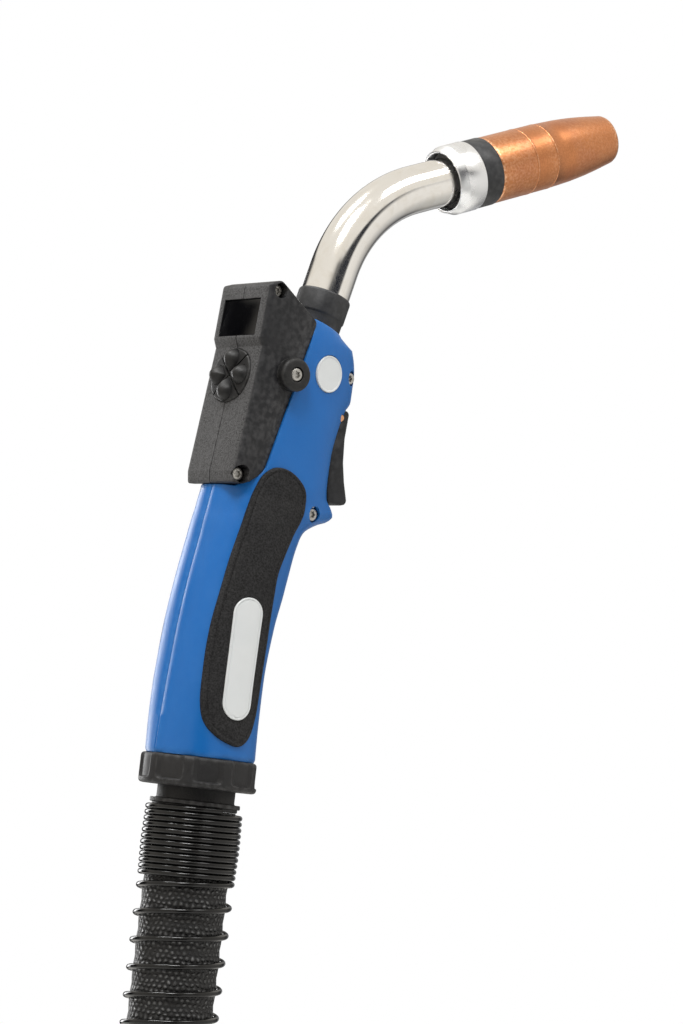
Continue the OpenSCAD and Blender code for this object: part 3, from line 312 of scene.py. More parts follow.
h = HANG_END_Z
run = [
    (0, 0, HOSE_TOP_Z), (0, 0, -115), (0, 0, -175), (0, 0, -235), (0, 0, -300), (0, 0, h),
    (5, 0, h - 39), (20, 0, h - 75), (44, 0, h - 106), (75, 0, h - 130), (111, 0, h - 145),
    (150, 0, FLOOR_MID_Z), (COIL_X - HOSE_D, 0, FLOOR_MID_Z),
]
coil = [coil_at(i / COIL_STEPS) for i in range(1, int(COIL_TURNS * COIL_STEPS) + 1)]
end = coil[-1]
plug_z = PLUG_AT.z
tail_y0 = end[1] - HOSE_D
tail = [(end[0], tail_y0, end[2]), (end[0], tail_y0 - 10, end[2])]
for i in range(1, 9):
    v = i / 8
    fall = 2 * v * v if v < 0.5 else 1 - 2 * (1 - v) ** 2
    tail.append((end[0], tail_y0 - 10 - TAIL_BEND_LEN * v, end[2] - (end[2] - plug_z) * fall))
tail.append((end[0], tail_y0 - TAIL_LEN, plug_z))
tail.append((end[0], tail_y0 - TAIL_LEN - HOSE_IN_RELIEF, plug_z))
hose_line = evenly(curve_through(run + [coil_at(0)] + coil + tail, 12), 4.0)
hose_length = float(np.linalg.norm(np.diff(hose_line, axis=0), axis=1).sum())
print("hose line", round(hose_length, 1), "mm in", len(hose_line), "points")

# %% [markdown]
# ## Finishes: the parts that several share
# Four effects turn up on more than one material: a moulded grain, a brushed grain along one direction,
# wear on the sharp edges, and dust that settles on what faces up. Each is a node group with named
# sockets, built once, and so is the braid of the hose. They put out heights and masks only, and each
# material decides what to do with them.

# %% Short ways to add nodes to a tree
class Nodes:
    def __init__(self, tree):
        self.tree = tree

    def add(self, kind, links=(), **settings):
        """A node with its settings; links is a list of (input, what), where what is a socket or a value."""
        node = self.tree.nodes.new("ShaderNode" + kind)
        for key, value in settings.items():
            setattr(node, key, value)
        for socket, what in links:
            if isinstance(what, bpy.types.NodeSocket):
                self.tree.links.new(what, node.inputs[socket])
            else:
                node.inputs[socket].default_value = what
        return node

    def out(self, kind, output, links=()):
        return self.add(kind, links).outputs[output]

    def math(self, operation, a, b=0.0, clamp=False):
        return self.add("Math", [(0, a), (1, b)], operation=operation, use_clamp=clamp).outputs[0]

    def noise(self, where, scale, detail, distortion=0.0):
        links = [("Vector", where), ("Scale", scale), ("Detail", detail), ("Distortion", distortion)]
        return self.out("TexNoise", "Fac", links)

    def span(self, value, low, high, from_low=0.0, from_high=1.0):
        """The value stretched to low..high, and held inside it."""
        ends = [("From Min", from_low), ("From Max", from_high), ("To Min", low), ("To Max", high)]
        return self.out("MapRange", 0, [("Value", value), *ends])

    def mix(self, mask, a, b):
        """Tone a where the mask is 0 and b where it is 1: a socket, three numbers, or one for a grey."""
        links = [(0, mask)]
        for socket, tone in ((6, a), (7, b)):
            if not isinstance(tone, bpy.types.NodeSocket):
                tone = (*(tone if isinstance(tone, tuple) else (tone,) * 3), 1.0)
            links.append((socket, tone))
        return self.add("Mix", links, data_type="RGBA").outputs[2]


class Group(Nodes):
    """A node group: inputs maps each float input to its default."""

    def __init__(self, name, inputs, outputs):
        super().__init__(bpy.data.node_groups.new(name, "ShaderNodeTree"))
        sockets = self.tree.interface
        for word, default in inputs.items():
            made = sockets.new_socket(word, in_out="INPUT", socket_type="NodeSocketFloat")
            made.default_value = default
        for word in outputs:
            sockets.new_socket(word, in_out="OUTPUT", socket_type="NodeSocketFloat")
        self.given = self.tree.nodes.new("NodeGroupInput").outputs
        self.result = self.tree.nodes.new("NodeGroupOutput").inputs
        print("node group", name)

    def put_out(self, *values):
        for value, socket in zip(values, self.result):
            self.tree.links.new(value, socket)

# %% Moulded grain: fine pits, with a slow change of shade
grain = Group("moulded grain", {"Pits per metre": 900.0, "Patches per metre": 30.0}, ["Height", "Shade"])
where = grain.out("TexCoord", "Object")
pits = grain.add("TexVoronoi", [("Vector", where), ("Scale", grain.given[0])], feature="SMOOTH_F1")
fine = grain.noise(where, grain.given[0], 3.0)
slow = grain.noise(where, grain.given[1], 4.0)
grain.put_out(grain.math("ADD", pits.outputs["Distance"], fine), slow)

# %% Brushed grain: noise drawn out along the UV map's second direction or its first
brushed = Group("brushed grain", {"Lines round": 200.0, "Lines along": 6000.0}, ["Height", "Blotch"])
parts = brushed.add("SeparateXYZ", [(0, brushed.out("UVMap", "UV"))]).outputs
drawn = [(i, brushed.math("MULTIPLY", parts[i], brushed.given[i])) for i in (0, 1)]
lines = brushed.noise(brushed.out("CombineXYZ", 0, drawn), 1.0, 4.0)
brushed.put_out(lines, brushed.noise(brushed.out("TexCoord", "Object"), 170.0, 5.0, 0.6))

# %% Edge wear: where the surface turns sharply outward, broken up by noise
wear = Group("edge wear", {"Reach": 0.06, "Breaks per metre": 260.0}, ["Mask"])
above = wear.math("SUBTRACT", wear.out("NewGeometry", "Pointiness"), 0.5)
share = wear.math("DIVIDE", above, wear.given[0], True)
breaks = wear.noise(wear.out("TexCoord", "Object"), wear.given[1], 5.0)
wear.put_out(wear.math("MULTIPLY", share, wear.span(breaks, 0.0, 1.0, 0.4, 0.65), True))

# %% Dust: on what faces up, in soft patches and a few specks
dust = Group("dust", {"Amount": 0.5, "Patches per metre": 45.0}, ["Mask"])
up = dust.out("SeparateXYZ", "Z", [(0, dust.out("NewGeometry", "Normal"))])
where = dust.out("TexCoord", "Object")
patches = dust.span(dust.noise(where, dust.given[1], 6.0), 0.0, 1.0, 0.45, 0.8)
speck = dust.out("TexVoronoi", "Distance", [("Vector", where), ("Scale", 900.0)])
specks = dust.math("MULTIPLY", dust.span(speck, 0.0, 1.0, 0.12, 0.02), 0.5)
layer = dust.math("MULTIPLY", dust.span(up, 0.0, 1.0, -0.2, 1.0), patches)
dust.put_out(dust.math("MULTIPLY", dust.math("ADD", layer, specks), dust.given[0], True))

# %% Braid: round bumps in staggered rows along the UV map, no two alike, each with a painted glint on its top
braid = Group("braid", {"Bump width": 0.0025, "Bump length": 0.0022}, ["Height", "Light"])
parts = braid.add("SeparateXYZ", [(0, braid.out("UVMap", "UV"))]).outputs
drift = braid.noise(braid.out("TexCoord", "Object"), 190.0, 2.0)
waver = braid.math("MULTIPLY", braid.math("SUBTRACT", drift, 0.5), 1.6)
rows = braid.math("ADD", braid.math("DIVIDE", parts[1], braid.given[1]), waver)
row = braid.math("FLOOR", rows)
shift = braid.math("MULTIPLY", braid.math("MODULO", row, 2.0), 0.5)
cols = braid.math("ADD", braid.math("DIVIDE", parts[0], braid.given[0]), shift)
offs = [braid.math("SUBTRACT", braid.math("FRACT", c), 0.5) for c in (cols, rows)]
square = [braid.math("MULTIPLY", c, c) for c in offs]
spread = braid.math("MULTIPLY", braid.math("ADD", *square), 4.6)
bump_up = braid.math("SUBTRACT", 1.0, spread, True)
cell = braid.out("CombineXYZ", 0, [(0, braid.math("FLOOR", cols)), (1, row)])
chance = braid.out("TexWhiteNoise", "Value", [("Vector", cell)])
# Light is a painted glint: the top of each bump is made lighter in colour, by a random amount.
painted_glint = braid.math("MULTIPLY", braid.math("POWER", bump_up, 2.0), chance)
braid.put_out(braid.math("MULTIPLY", bump_up, braid.span(chance, 0.35, 1.0)), painted_glint)

# %% Materials, and the kind of finish that most pieces share
class Finish(Nodes):
    """A material with one Principled shader; constants are set on its own sockets."""

    def __init__(self, name, **constants):
        self.material = bpy.data.materials.new(name)
        self.material.use_nodes = True
        super().__init__(self.material.node_tree)
        self.shader = self.tree.nodes["Principled BSDF"]
        for key, value in constants.items():
            self.shader.inputs[key.replace("_", " ")].default_value = value
        print("finish", name)

    def group(self, made, *values):
        """The outputs of a node group whose inputs are set to the values, in their order."""
        return self.add("Group", list(enumerate(values)), node_tree=made.tree).outputs

    def feed(self, socket, what):
        self.tree.links.new(what, self.shader.inputs[socket])

    def bump(self, height, distance, strength=1.0, round_edges=0.0):
        links = [("Height", height), ("Distance", distance), ("Strength", strength)]
        if round_edges:
            links.append(("Normal", self.add("Bevel", [("Radius", round_edges)], samples=6).outputs[0]))
        self.feed("Normal", self.out("Bump", 0, links))


def grained(name, pits, patches, tones, rough, relief, worn=None, dusty=None, round_edges=0.0, **constants):
    """Two tones in slow patches over a fine grain, with worn edges and dust where they are given.

    relief is (depth in m, strength), worn is (reach, breaks per metre, tone) and dusty is (amount, patches
    per metre, tone).
    """
    made = Finish(name, **constants)
    height, shade = made.group(grain, pits, patches)
    tone = made.mix(shade, *tones)
    if worn:
        tone = made.mix(made.group(wear, *worn[:2])[0], tone, worn[2])
    if dusty:
        tone = made.mix(made.group(dust, *dusty[:2])[0], tone, dusty[2])
    made.feed("Base Color", tone)
    made.feed("Roughness", made.span(shade, *rough, 0.3, 0.7))
    made.bump(height, *relief, round_edges=round_edges)
    return made

# %% [markdown]
# ## The hose's jacket
# The jacket is a black braid of stiff glossy thread over rubber. It stands out as rows of small bumps
# that glint where the light meets them, with dull black between. Thread by thread geometry over 3 m would
# be millions of faces, so the bulges between the spring's turns are real, the stitches are a bump, and
# the glint on each stitch is partly painted, as a lighter colour on its top.

# %% Jacket finish: dark threads whose bump tops carry a painted glint
jacket = Finish("hose_jacket", Metallic=0.0, Specular_IOR_Level=0.5)
stitches = jacket.group(braid, 0.00242, 0.0021)
patches = jacket.group(grain, 2600.0, 70.0)
# The bump tops are painted lighter here as a glint, besides being glossier.
threads_with_painted_glint = jacket.mix(stitches[1], (0.004, 0.004, 0.005), (0.20, 0.203, 0.21))
threads_with_painted_glint = jacket.mix(jacket.span(patches[1], 0.0, 0.55, 0.42, 0.62), threads_with_painted_glint, (0.006, 0.006, 0.007))
jacket.feed("Base Color", jacket.mix(jacket.group(dust, 0.10, 60.0)[0], threads_with_painted_glint, 0.08))
jacket.feed("Roughness", jacket.span(stitches[1], 0.55, 0.24))
jacket.bump(stitches[0], 0.0012)

# %% Hose: one swept tube that bulges between the spring's turns
SPRING_WIRE_D, CLOSE_PITCH, CLOSE_TURNS, OPEN_PITCH, OPEN_TURNS = 2.3, 2.43, 12, 11.2, 7
SPRING_TOP_Z, SPRING_R, SPRING_START = -78.65, 18.85, -88
BULGE, SQUEEZE, UNDER_CLOSE_TURNS = 0.42, 0.3, 0.25
close_h = CLOSE_TURNS * CLOSE_PITCH
spring_from = HOSE_TOP_Z - SPRING_TOP_Z
spring_end = spring_from + close_h + OPEN_TURNS * OPEN_PITCH


def hose_radius(s, angle):
    """Radius of the jacket at s mm along the hose: a bulge between each two open turns of the spring."""
    u = s - spring_from - close_h
    if u < 0 or s > spring_end:
        return HOSE_D / 2 - UNDER_CLOSE_TURNS * (u < 0)
    turn = u / OPEN_PITCH + angle / (2 * math.pi)
    return HOSE_D / 2 + BULGE * abs(math.sin(math.pi * turn)) ** 0.8 - SQUEEZE


NEAR = 32  # points of the line that lie by the spring and are set closer
hose_path = [*evenly(hose_line[:NEAR], 1.0), *hose_line[NEAR:]]
hose = sweep("hose", hose_path, hose_radius, 72, ref=(-1, 0, 0))
hose.data.shade_smooth()
fit(hose, "torch", jacket, ["cable_run", "cable_coil", "cable_tail"])
print("hose", len(hose.data.vertices), "points")

# %% [markdown]
# ## Coil strap
# The put-away coil is held by a flat woven strap round the two lengths that lie one over the other. It is
# a flat section, carried round the same rounded outline as the two hoses make.

# %% Strap finish
strap_finish = Finish("strap", Sheen_Weight=0.4, Sheen_Roughness=0.5)
ribs = strap_finish.group(brushed, 9000.0, 500.0)
strap_finish.feed("Base Color", strap_finish.mix(ribs[0], (0.012, 0.012, 0.013), (0.05, 0.05, 0.055)))
strap_finish.feed("Roughness", strap_finish.span(ribs[0], 0.75, 0.95))
strap_finish.bump(ribs[0], 0.0004)

# %% Strap round the coil
STRAP_AT, STRAP_OFF, STRAP_STEP, RIPPLE = 15, 1.0, 1.5, 0.105
STRAP_SECTION = [(-9, 0.0), (-8.6, 0.45), (8.6, 0.45), (9, 0.0), (8.6, -0.45), (-8.6, -0.45)]


def stretch_mid(i):
    """Where the middle of stretch i of the coil lies: its distance from the coil's axis and its height."""
    m = (np.array(coil_at(i / COIL_STEPS)) + np.array(coil_at((i + 1) / COIL_STEPS))) / 2
    return math.hypot(m[0] - COIL_X, m[1] - COIL_R), m[2] - FLOOR_MID_Z


low_mid, high_mid = stretch_mid(STRAP_AT), stretch_mid(STRAP_AT + COIL_STEPS)
lean = math.atan2(high_mid[1] - low_mid[1], high_mid[0] - low_mid[0])
around, r = [], HOSE_D / 2 + STRAP_OFF
for mid, start in ((low_mid, lean + math.pi / 2), (high_mid, lean - math.pi / 2)):
    for a in (start + math.pi * k / 16 for k in range(17)):
        around.append((mid[0] + r * math.cos(a), mid[1] + r * math.sin(a)))
turn = 2 * math.pi * (STRAP_AT + 0.5) / COIL_STEPS - math.pi / 2
out = Vector((math.cos(turn), math.sin(turn), 0))
over = Vector((-math.sin(turn), math.cos(turn), 0))
hub = Vector((COIL_X, COIL_R, FLOOR_MID_Z))
loop = list(evenly(around + around[:1], STRAP_STEP)[:-1])
n, wide = len(loop), len(STRAP_SECTION)
points, faces, uvs = [], [], []
for i, p in enumerate(loop):
    t = loop[(i + 1) % n] - loop[i - 1]
    away = np.array([t[1], -t[0]]) / np.linalg.norm(t)
    lift = RIPPLE * math.sin(2 * math.pi * i / n * 9)
    for w, d in STRAP_SECTION:
        q = p + away * (d + lift)
        points.append((hub + out * q[0] + over * w + Vector((0, 0, q[1]))) * MM)
    for k in range(wide):
        j, m = (i + 1) % n, (k + 1) % wide
        faces.append((i * wide + k, i * wide + m, j * wide + m, j * wide + k))
        corners = ((i, k), (i, m), (i + 1, m), (i + 1, k))
        uvs.append([(u * STRAP_STEP * MM, STRAP_SECTION[c][0] * MM) for u, c in corners])
strap = solid("coil_strap", points, faces, uvs, 50)
fit(strap, "torch", strap_finish, ["coil_tie"])
print("strap goes", round(n * STRAP_STEP), "mm round")

# %% [markdown]
# ## Bend spring
# A spring of black coated wire keeps the hose from kinking where it leaves the handle: 12 close turns,
# then 7 open ones. The wire is swept along the helix. Each close turn touches the next, and the last one
# eases into the open pitch, since a real coiled wire can't change its slope at once.

# %% Spring finish
wire_coat = Finish("spring_black", Specular_IOR_Level=0.4)
scuffs = wire_coat.group(wear, 0.2, 500.0)
mottle = wire_coat.group(grain, 3000.0, 160.0)
wire_coat.feed("Base Color", wire_coat.mix(scuffs[0], (0.0015, 0.0015, 0.0018), 0.012))
wire_coat.feed("Roughness", wire_coat.span(mottle[1], 0.10, 0.20, 0.3, 0.7))
wire_coat.bump(mottle[0], 0.00003, 0.5)

# %% Spring wire
EASE, BELLY, WIRE_STEPS = 0.35, 0.35, 60


def spring_at(u):
    """The wire's middle after u turns: close turns, an eased change of slope, then open ones."""
    if u < CLOSE_TURNS - EASE:
        drop = u * CLOSE_PITCH
    elif u < CLOSE_TURNS + EASE:
        v = (u - CLOSE_TURNS + EASE) / (2 * EASE)
        eased = CLOSE_PITCH * v + (OPEN_PITCH - CLOSE_PITCH) * v * v / 2
        drop = (CLOSE_TURNS - EASE) * CLOSE_PITCH + 2 * EASE * eased
    else:
        drop = close_h + (u - CLOSE_TURNS) * OPEN_PITCH
    a = math.radians(SPRING_START - 360 * u)
    r = SPRING_R + BELLY * math.sin(min(u, CLOSE_TURNS) / CLOSE_TURNS * math.pi) ** 2
    return (r * math.cos(a), r * math.sin(a), SPRING_TOP_Z - drop)


turns = CLOSE_TURNS + OPEN_TURNS
wire_line = [spring_at(i / WIRE_STEPS) for i in range(turns * WIRE_STEPS + 1)]
spring = sweep("bend_spring_wire", wire_line, SPRING_WIRE_D / 2, 16)
fit(spring, "torch", wire_coat, ["bend_spring"])
print("spring", turns, "turns")

# %% [markdown]
# ## Neck
# The neck is a thick bent tube, nickel plated and polished. Its look is all reflection, so the tube must
# be perfectly smooth: it is swept with many fine rings, and only faint long polishing lines and a few
# warmer patches break the mirror.

# %% Nickel finish
nickel = Finish("bright_nickel", Metallic=1.0)
polish = nickel.group(brushed, 2500.0, 40.0)
warmer = nickel.span(polish[1], 0.0, 1.0, 0.45, 0.75)
nickel.feed("Base Color", nickel.mix(warmer, (0.90, 0.885, 0.86), (0.84, 0.81, 0.76)))
nickel.feed("Roughness", nickel.span(polish[1], 0.10, 0.15, 0.35, 0.7))
nickel.bump(polish[0], 0.00001, 0.35)

# %% Neck tube
NECK_D, NECK_FROM, NECK_INTO_HEAD, BEND_RINGS = 20.5, 24, 17, 72
neck_line = [at_neck(s).translation for s in np.linspace(NECK_FROM, NECK_STRAIGHT, 90)]
for k in range(1, BEND_RINGS):
    b = math.radians(NECK_BEND * k / BEND_RINGS)
    local = Vector((NECK_BEND_R * (1 - math.cos(b)), 0, NECK_BEND_R * math.sin(b)))
    neck_line.append(at_neck(NECK_STRAIGHT) @ local)
neck_line += [at_nozzle(t).translation for t in np.linspace(-NECK_END, NECK_INTO_HEAD, 16)]
neck = sweep("neck_tube_plated", neck_line, NECK_D / 2, 96, ref=(0, 1, 0), caps=False)
fit(neck, "torch", nickel, ["neck_tube"])
print("neck", len(neck_line), "rings")

# %% Dull black moulded finish, for the neck's sleeve and the nozzle's insulator
insulator_finish = grained(
    "insulator_black", 2600.0, 120.0, [(0.012, 0.013, 0.0155), (0.016, 0.0175, 0.0205)],
    rough=(0.38, 0.6), relief=(0.00004, 0.6), worn=(0.1, 400.0, (0.07, 0.07, 0.075)),
)

# %% Neck sleeve: two steps with a rounded shoulder between them and on the top
SLEEVE = [
    (10.3, 0), (10.75, 0), (10.75, 8.6), (10.9, 9.0), (11.1, 9.3), (11.2, 9.8), (11.2, 17.9), (11.1, 18.5),
    (10.85, 18.9), (10.4, 19), (10.28, 18.8),
]
sleeve = lathe("neck_sleeve_moulded", SLEEVE, at_neck(120), 96)
fit(sleeve, "torch", insulator_finish, ["neck_sleeve"])

# %% [markdown]
# ## Nozzle
# The gas nozzle is drawn copper, turned with two fine raised lines, then tapered to a rounded mouth.
# Handling and heat have mottled it. Behind it come the black insulator and a plated ring with a bevelled
# back rim. All three are turned parts, so each is a profile for the lathe, with every chamfer in it.

# %% Copper finish
copper = Finish("copper", Metallic=1.0)
strokes = copper.group(brushed, 420.0, 4200.0)
stain = copper.group(grain, 1600.0, 55.0)
worn = copper.group(wear, 0.03, 900.0)
tone = copper.mix(copper.span(strokes[0], 0.0, 1.0, 0.3, 0.7), (0.56, 0.215, 0.085), (0.74, 0.320, 0.140))
tone = copper.mix(copper.span(stain[0], 0.0, 0.45, 0.62, 1.12), tone, (0.47, 0.175, 0.078))
tone = copper.mix(copper.span(stain[1], 0.0, 0.5, 0.48, 0.66), tone, (0.44, 0.165, 0.088))
copper.feed("Base Color", copper.mix(worn[0], tone, (0.95, 0.56, 0.34)))
copper.feed("Roughness", copper.span(stain[0], 0.31, 0.37, 0.5, 1.1))
copper.bump(strokes[0], 0.00002, 0.3)

# %% Gas nozzle
NOZZLE = [
    (12.2, 23.0), (14.0, 23.0), (14.3, 23.1), (14.5, 23.6), (14.5, 24.3), (14.43, 41.4), (14.42, 41.9),
    (14.38, 42.1), (14.5, 42.3), (14.5, 42.6), (14.38, 42.8), (14.37, 43.3), (14.31, 52.7), (14.3, 53.1),
    (14.24, 53.3), (14.36, 53.5), (14.36, 53.8), (14.22, 54.0), (14.02, 60.0), (13.75, 66.0), (13.35, 71.0),
    (12.95, 75.0), (12.3, 80.0), (11.7, 84.0), (11.2, 87.0), (10.85, 89.2), (10.65, 90.4), (10.3, 91.1),
    (9.8, 91.45), (9.2, 91.5), (8.8, 91.35), (8.52, 90.9), (8.5, 90.2), (8.5, 76.0), (12.2, 63.6),
]
nozzle = lathe("gas_nozzle_copper", NOZZLE, at_nozzle(), 160)
fit(nozzle, "nozzle", copper, ["gas_nozzle"])

# %% Insulator, plated ring and the seal between ring and neck
INSULATOR = [
    (11.3, 13.65), (14.3, 13.65), (14.6, 13.8), (14.75, 14.2), (14.75, 22.4), (14.6, 22.8), (14.2, 22.95),
    (11.3, 22.95),
]
RING = [
    (11.3, 6.0), (12.5, 5.2), (12.5, 0.7), (12.62, 0.3), (12.9, 0.05), (13.15, 0.0), (13.4, 0.1),
    (13.6, 0.35),
    (14.7, 3.3), (14.86, 3.62), (15.0, 3.9), (15.0, 13.0), (14.9, 13.35), (14.6, 13.58), (11.3, 13.58),
]
SEAL = [(10.3, 3.6), (11.9, 3.6), (12.3, 4.0), (12.3, 5.5), (12.0, 5.8), (10.3, 5.8)]
insulator = lathe("insulator_moulded", INSULATOR, at_nozzle(), 128)
fit(insulator, "nozzle", insulator_finish, ["nozzle_insulator"])
plate = Finish("plated_ring", Metallic=1.0)
turned_lines = plate.group(brushed, 60.0, 9000.0)
plate.feed("Base Color", plate.mix(turned_lines[0], (0.80, 0.815, 0.84), (0.90, 0.91, 0.93)))
plate.feed("Roughness", plate.span(turned_lines[1], 0.24, 0.34, 0.3, 0.7))
plate.bump(turned_lines[0], 0.00003, 0.5)
ring = lathe("nozzle_ring_plated", RING, at_nozzle(), 128)
fit(ring, "nozzle", plate, ["nozzle_ring"])
seal = lathe("neck_seal", SEAL, at_nozzle(), 96)
fit(seal, "torch", insulator_finish)
print("nozzle pieces", [o.name for o in (nozzle, insulator, ring, seal)])

# %% [markdown]
# ## Handle
# The handle is moulded in two halves that meet along its back and its front. Its section is an oval that
# changes from the round foot to the slimmer head, with a hook for the finger below the trigger. A smooth
# surface through a table of sections is the natural way to make it: each row gives the height, the back,
# the widest point, the front, the half width and how square the front is, and the rows between are found
# with a monotone curve, which never overshoots.

# %% Sections of the handle, in mm
SECTIONS = np.array([
    (-57.7, -22.6, 0, 22.6, 21.9, 2), (-43, -22.1, 0, 22.3, 21.5, 2), (-24, -20.9, 0.6, 22.5, 21, 2),
    (-2, -18.9, 2, 24.7, 21, 2), (14, -16.7, 5, 27.7, 21, 2), (24, -15.0, 7.4, 28.8, 21, 2.1),
    (33, -13.4, 9, 30.9, 20.7, 2.1), (39, -12.5, 10, 34.2, 20.1, 2), (43.4, -11.6, 10.4, 41.3, 19.5, 2),
    (45.4, -11.3, 10.6, 46.6, 19.3, 2), (48, -10.9, 10.6, 49.3, 19, 2), (50.8, -10.4, 10.6, 47.4, 18.6, 2.2),
    (54, -9.9, 10.6, 43.3, 18.6, 2.6), (60, -8.8, 11, 41.7, 18.3, 3), (72, -6.2, 12, 42.1, 18, 3),
    (84, -3.2, 13, 45.3, 17.9, 2.6), (92, -0.4, 14, 48.9, 17.9, 2.2), (96.5, 1.0, 15, 51.9, 17.9, 2),
    (106, 3.5, 18, 52.0, 17.9, 2), (116, 6.5, 22, 49.9, 17.6, 2), (120, 7.9, 24, 47.2, 17.0, 2),
    (128, 10.1, 25, 40.6, 15.8, 2),
])


def back_square(z):
    """How square the back is: round at the foot, flatter above it."""
    return 2.1 + 0.6 * min(max((z + 57.7) / 30, 0.0), 1.0)


HANDLE_TOP = 123.4


def monotone(x, y, at):
    """Monotone cubic through (x, y), at each of `at`."""
    step = np.diff(x)
    slope = np.diff(y) / step
    m = np.zeros_like(y)
    m[0], m[-1] = slope[0], slope[-1]
    for i in range(1, len(y) - 1):
        if slope[i - 1] * slope[i] > 0:
            w1, w2 = 2 * step[i] + step[i - 1], step[i] + 2 * step[i - 1]
            m[i] = (w1 + w2) / (w1 / slope[i - 1] + w2 / slope[i])
    i = np.clip(np.searchsorted(x, at, side="right") - 1, 0, len(step) - 1)
    t = (at - x[i]) / step[i]
    return (
        (2 * t**3 - 3 * t**2 + 1) * y[i] + (t**3 - 2 * t**2 + t) * step[i] * m[i]
        + (3 * t**2 - 2 * t**3) * y[i + 1] + (t**3 - t**2) * step[i] * m[i + 1]
    )


TABLE_LOW, TABLE_HIGH, TABLE_STEP = -58, 129.01, 0.1
TABLE_Z = np.arange(TABLE_LOW, TABLE_HIGH, TABLE_STEP)
TABLE = np.stack([TABLE_Z] + [monotone(SECTIONS[:, 0], SECTIONS[:, k], TABLE_Z) for k in range(1, 6)], 1)


def section(z):
    """The section at height z, read off a table of a row each 0.1 mm."""
    at = min(max((z - TABLE_LOW) / TABLE_STEP, 0.0), len(TABLE) - 1.001)
    i = int(at)
    row = (TABLE[i] * (1 - at + i) + TABLE[i + 1] * (at - i)).tolist()
    return [float(z)] + row[1:]


def half_width(x, z, grow=0.0):
    """Half the handle's width at x and z, on its skin moved out by grow."""
    lv = section(z)
    front = x >= lv[2]
    deep = (lv[3] - lv[2] if front else lv[2] - lv[1]) + grow
    n = lv[5] if front else back_square(z)
    u = min(abs(x - lv[2]) / deep, 0.9995)
    return (lv[4] + grow) * (1 - u**n) ** (1 / n)


def square_z(s, x):
    """Height at x of the plane square to the neck that lies s mm along it."""
    lean = math.radians(NECK_LEAN)
    return NECK_CROSS_Z + (s - x * math.sin(lean)) / math.cos(lean)

# %% One closed half of the handle's form
AROUND, ROW_STEP, SEAM_GAP, FOOT_EASE = 56, 1.3, 0.03, 0.5
NEAR_SEAM = {1: 0.3, AROUND - 1: AROUND - 0.3}  # the first and last step lie close to the seam
BLEND_START, BLEND_END = HANDLE_TOP - 6, HANDLE_TOP + 2
BLEND = [(0, 0.0), (2.5, 0.3), (5, 0.55)]  # height above the blend's start, and how far it has gone
TOP_RIM = [(-0.9, 0.1), (-0.35, 0.4), (0.0, 1.1)]  # how far along the neck and how far in each row lies


def half_form(name, side, grow, foot_z, top_s, seam=0.0):
    """A closed solid half: the skin moved out by grow, from foot_z up to the plane square to the neck."""
    levels = np.arange(foot_z, BLEND_START - 2.5, ROW_STEP)
    ease = [FOOT_EASE if seam else 0.0] + [0.0] * (len(levels) - 1)
    rows = [(section(z), 0.0, None, grow - pull) for z, pull in zip(levels, ease)]
    if seam:
        rows += [(section(BLEND_START + rise), f, 0.0, grow) for rise, f in BLEND]
    for lift, pull in TOP_RIM if seam else [(0.0, 0.0)]:
        rows.append((section(BLEND_END), 1.0, lift, grow - pull))
    points = []
    for lv, f, lift, g in rows:
        for k in range(AROUND + 1):
            t = math.pi * NEAR_SEAM.get(k, k) / AROUND
            c, s = math.cos(t), max(math.sin(t), 0.0)
            on_seam = k in (0, AROUND)
            gg = g - (seam if on_seam else 0.0)
            deep = (lv[2] - lv[1] if c > 0 else lv[3] - lv[2]) + gg
            n = back_square(lv[0]) if c > 0 else lv[5]
            x = lv[2] - math.copysign(deep * abs(c) ** (2 / n), c)
            y = SEAM_GAP if on_seam else (lv[4] + gg) * s ** (2 / n)
            z = lv[0]
            if lift is not None:
                z = BLEND_START + (square_z(top_s + lift, x) - BLEND_START) * f
            points.append((x * MM, side * y * MM, z * MM))
    w, last = AROUND + 1, (len(rows) - 1) * (AROUND + 1)
    faces = bands(len(rows), w) + [tuple(range(w)), tuple(range(last, last + w))]
    return solid(name, points, faces, None, 40)

# %% Cutting one solid out of another
def facing(side, x, y, z, place=STILL):
    """A place at (x, y, z) whose own Z points to the left for side 1 and to the right for side -1."""
    return place @ Matrix.Translation((x, y, z)) @ Matrix.Rotation(math.radians(-90 * side), 4, "X")


def block(name, corners, place=STILL, ease=0.0):
    """A box between two corners in mm, with eased edges; the cutter for slots and pockets."""
    (x0, y0, z0), (x1, y1, z1) = corners
    obj = drawn_out(name, [(y0, z0), (y0, z1), (y1, z1), (y1, z0)], x0, x1, 0, place)
    if ease:
        made = obj.modifiers.new("ease", "BEVEL")
        made.width, made.segments, made.limit_method = ease * MM, 4, "NONE"
        settle(obj)
    return obj


def drum(name, r, z0, z1, place=STILL, sides=96):
    """A round cutter along the place's Z."""
    turns = [2 * math.pi * k / sides for k in range(sides)]
    return drawn_out(name, [(r * math.cos(a), r * math.sin(a)) for a in turns], z0, z1, 2, place)


def stud(name, x, z, r, y0, y1, place=STILL, sides=48):
    """A round cutter along the place's Y."""
    return drum(name, r, 0, y1 - y0, facing(1, x, y0, z, place), sides)


def combine(obj, others, how="DIFFERENCE", below=35):
    for other in others:
        made = obj.modifiers.new("cut", "BOOLEAN")
        made.operation, made.object, made.solver = how, other, "EXACT"
    settle(obj, below)
    for other in others:
        bpy.data.objects.remove(other)
    return obj

# %% Blue plastic
blue = grained(
    "handle_blue", 1500.0, 38.0, [(0.002, 0.110, 0.40), (0.004, 0.132, 0.45)], rough=(0.30, 0.42),
    relief=(0.00005, 0.5), worn=(0.12, 300.0, (0.04, 0.20, 0.52)), dusty=(0.10, 50.0, (0.35, 0.42, 0.5)),
    round_edges=0.0006, Specular_IOR_Level=0.4,
)

